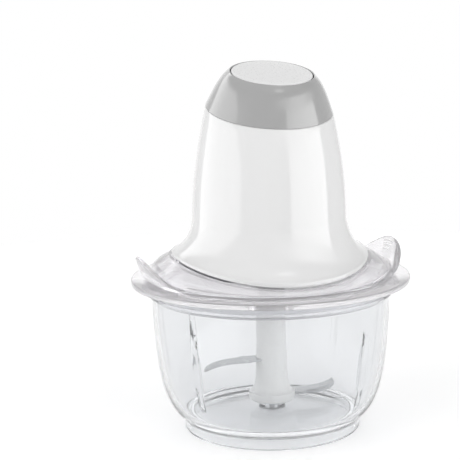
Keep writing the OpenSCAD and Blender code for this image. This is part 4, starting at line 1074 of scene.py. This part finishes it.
# Name, place, width and height in metres, and watts of each lamp, and the point that all of them face
LAMPS = (
    ("soft_box_left", (-1.08, -0.20, 0.36), (0.9, 1.2), 8.2),
    ("soft_box_right", (0.76, -0.88, 0.34), (0.8, 1.1), 7.9),
    ("soft_box_back", (0.40, 1.15, 0.34), (0.9, 1.1), 6.0),
    ("soft_box_top", (-0.1, -0.1, 1.45), (1.1, 1.1), 0.2),
)
LAMP_AIM = Vector((0, 0, 0.1))

# The camera's place in metres, its tilt, and its focal length in pixels of a picture of that width
CAMERA_SPOT = (-0.2243, -0.6221, 0.2200)
CAMERA_PITCH, CAMERA_ROLL = math.radians(9.65), math.radians(-1.27)
FOCAL_PIXELS, PICTURE_PIXELS = 1248, 460
SENSOR_MM = 36.0


class CHOPPER_OT_stage(bpy.types.Operator):
    """Set up the pale floor, soft studio light and camera"""
    bl_idname = "chopper.stage"
    bl_label = "Studio"

    def execute(self, context):
        self.floor()
        self.world(context)
        self.lamps(context)
        self.camera(context)
        context.scene.view_settings.view_transform = "Standard"
        return {"FINISHED"}

    @staticmethod
    def floor():
        bm = bmesh.new()
        bmesh.ops.create_circle(bm, cap_ends=True, radius=FLOOR_R, segments=96)
        floor = to_object("studio_floor", bm)
        mat, tree, shader = new_material("studio floor white")
        tone = varied_colour(tree, noise_on(tree, 3.0), colours().floor, 0.004)
        tree.links.new(tone, shader.inputs["Base Color"])
        shader.inputs["Roughness"].default_value = 0.9
        shader.inputs["Specular IOR Level"].default_value = 0.0
        shader.inputs["Emission Color"].default_value = (1, 1, 1, 1)
        glow = math_node(tree, "MULTIPLY", seen_directly(tree), FLOOR_GLOW)
        tree.links.new(glow, shader.inputs["Emission Strength"])
        floor.data.materials.append(mat)

    @staticmethod
    def world(context):
        """White behind the object; gloss and glass see a dimmer room, boxes and a flag on each side."""
        world = bpy.data.worlds.new("studio")
        context.scene.world = world
        world.use_nodes = True
        tree = world.node_tree
        coords = tree.nodes.new("ShaderNodeTexCoord")

        def dot(axis):
            node = tree.nodes.new("ShaderNodeVectorMath")
            node.operation = "DOT_PRODUCT"
            node.inputs[1].default_value = axis
            tree.links.new(coords.outputs["Generated"], node.inputs[0])
            return node.outputs["Value"]

        def plus(a, b):
            return math_node(tree, "ADD", a, b)

        def minus(a, b):
            return math_node(tree, "SUBTRACT", a, b)

        def times(a, b):
            return math_node(tree, "MULTIPLY", a, b)

        def ramp(value, start, end, low, high):
            return map_range(tree, value, start, end, low, high, "SMOOTHSTEP")

        def band(value, start, full, last, end):
            return times(ramp(value, start, full, 0.0, 1.0), ramp(value, last, end, 1.0, 0.0))

        ahead = dot((-math.sin(VIEW_TURN), -math.cos(VIEW_TURN), 0))
        right = dot((math.cos(VIEW_TURN), -math.sin(VIEW_TURN), 0))
        height = dot((0, 0, 1))
        turn = times(math_node(tree, "ARCTAN2", right, ahead), 180 / math.pi)
        away = math_node(tree, "ABSOLUTE", turn, 0.0)
        leant = plus(turn, ramp(height, *LEFT_BOX_LEAN, 0.0, LEFT_BOX_LEAN_TURN))
        left_box = times(band(leant, *LEFT_BOX), ramp(turn, *LEFT_BOX_FADE, *LEFT_BOX_LIGHT))
        left_box = times(left_box, ramp(height, *LEFT_BOX_TOP, 1.0, 0.0))
        right_box = times(band(turn, *RIGHT_BOX), ramp(turn, *RIGHT_BOX_FADE, *RIGHT_BOX_LIGHT))
        right_box = times(right_box, ramp(height, *RIGHT_BOX_TOP, 1.0, 0.0))
        glow = times(times(band(turn, *RIGHT_GLOW), band(height, *RIGHT_GLOW_HEIGHT)), RIGHT_GLOW_LIGHT)
        spot = times(times(band(turn, *SPOT), band(height, *SPOT_HEIGHT)), SPOT_LIGHT)
        boxes = plus(plus(left_box, right_box), plus(glow, spot))
        left_flag = times(band(turn, *LEFT_FLAG), LEFT_FLAG_SHADE)
        right_flag = times(band(turn, *RIGHT_FLAG), RIGHT_FLAG_SHADE)
        room = minus(minus(ramp(away, *ROOM_BACK, *ROOM_LIGHT), left_flag), right_flag)
        gloss = plus(plus(room, boxes), ramp(height, *SKY, 0.0, SKY_LIGHT))
        direct = seen_directly(tree)
        camera = tree.nodes.new("ShaderNodeLightPath").outputs["Is Camera Ray"]
        soft = times(minus(1.0, direct), SOFT_LIGHT)
        total = plus(plus(soft, times(minus(direct, camera), gloss)), camera)
        back = tree.nodes["Background"]
        back.inputs["Color"].default_value = (1, 1, 1, 1)
        tree.links.new(total, back.inputs["Strength"])

    @staticmethod
    def lamps(context):
        for name, spot, size, watts in LAMPS:
            light = bpy.data.lights.new(name, "AREA")
            light.shape = "RECTANGLE"
            light.size, light.size_y = size
            light.energy = watts
            obj = bpy.data.objects.new(name, light)
            obj.location = spot
            obj.rotation_euler = (LAMP_AIM - Vector(spot)).to_track_quat("-Z", "Y").to_euler()
            obj.visible_glossy = False
            obj.visible_transmission = False
            obj.visible_camera = False
            context.scene.collection.objects.link(obj)

    @staticmethod
    def camera(context):
        """At the photograph's place: round to the left, looking a little down."""
        level = Vector((math.cos(VIEW_TURN), -math.sin(VIEW_TURN), 0))
        forward = Vector((math.sin(VIEW_TURN), math.cos(VIEW_TURN), 0))
        ahead = forward * math.cos(CAMERA_PITCH) - Vector((0, 0, math.sin(CAMERA_PITCH)))
        up = level.cross(ahead)
        side = level * math.cos(CAMERA_ROLL) + up * math.sin(CAMERA_ROLL)
        top = up * math.cos(CAMERA_ROLL) - level * math.sin(CAMERA_ROLL)
        data = bpy.data.cameras.new("studio_camera")
        data.sensor_width = SENSOR_MM
        data.lens = SENSOR_MM * FOCAL_PIXELS / PICTURE_PIXELS
        data.clip_start = 0.01
        cam = bpy.data.objects.new("studio_camera", data)
        turn = Matrix((side, top, -ahead)).transposed()
        cam.matrix_world = Matrix.Translation(CAMERA_SPOT) @ turn.to_4x4()
        context.scene.collection.objects.link(cam)
        context.scene.camera = cam


class CHOPPER_PT_panel(bpy.types.Panel):
    """The chopper's sizes, colours and pieces"""
    bl_idname = "CHOPPER_PT_panel"
    bl_label = "Mini Food Chopper"
    bl_space_type = "VIEW_3D"
    bl_region_type = "UI"
    bl_category = "Chopper"

    def draw(self, context):
        layout = self.layout
        for title, group, kind in (("Sizes", context.scene.chopper_sizes, ChopperSizes),
                                   ("Colours", context.scene.chopper_colours, ChopperColours)):
            box = layout.box()
            box.label(text=title)
            for name in kind.__annotations__:
                box.prop(group, name)
        for operator in OPERATORS:
            layout.operator(operator.bl_idname)


OPERATORS = (CHOPPER_OT_frame_finishes, CHOPPER_OT_bowl, CHOPPER_OT_lid, CHOPPER_OT_grips, CHOPPER_OT_blades,
             CHOPPER_OT_housing, CHOPPER_OT_top, CHOPPER_OT_spring, CHOPPER_OT_gland, CHOPPER_OT_stage)
CLASSES = (ChopperSizes, ChopperColours, *OPERATORS, CHOPPER_PT_panel)


def register():
    for item in CLASSES:
        bpy.utils.register_class(item)
    bpy.types.Scene.chopper_sizes = PointerProperty(type=ChopperSizes)
    bpy.types.Scene.chopper_colours = PointerProperty(type=ChopperColours)


def unregister():
    del bpy.types.Scene.chopper_colours
    del bpy.types.Scene.chopper_sizes
    for item in reversed(CLASSES):
        bpy.utils.unregister_class(item)


def main():
    register()
    bpy.ops.chopper.frame_finishes()
    bpy.ops.chopper.bowl()
    bpy.ops.chopper.lid()
    bpy.ops.chopper.grips()
    bpy.ops.chopper.blades()
    bpy.ops.chopper.housing()
    bpy.ops.chopper.top()
    bpy.ops.chopper.spring()
    bpy.ops.chopper.gland()
    bpy.ops.chopper.stage()


if __name__ == "__main__":
    main()
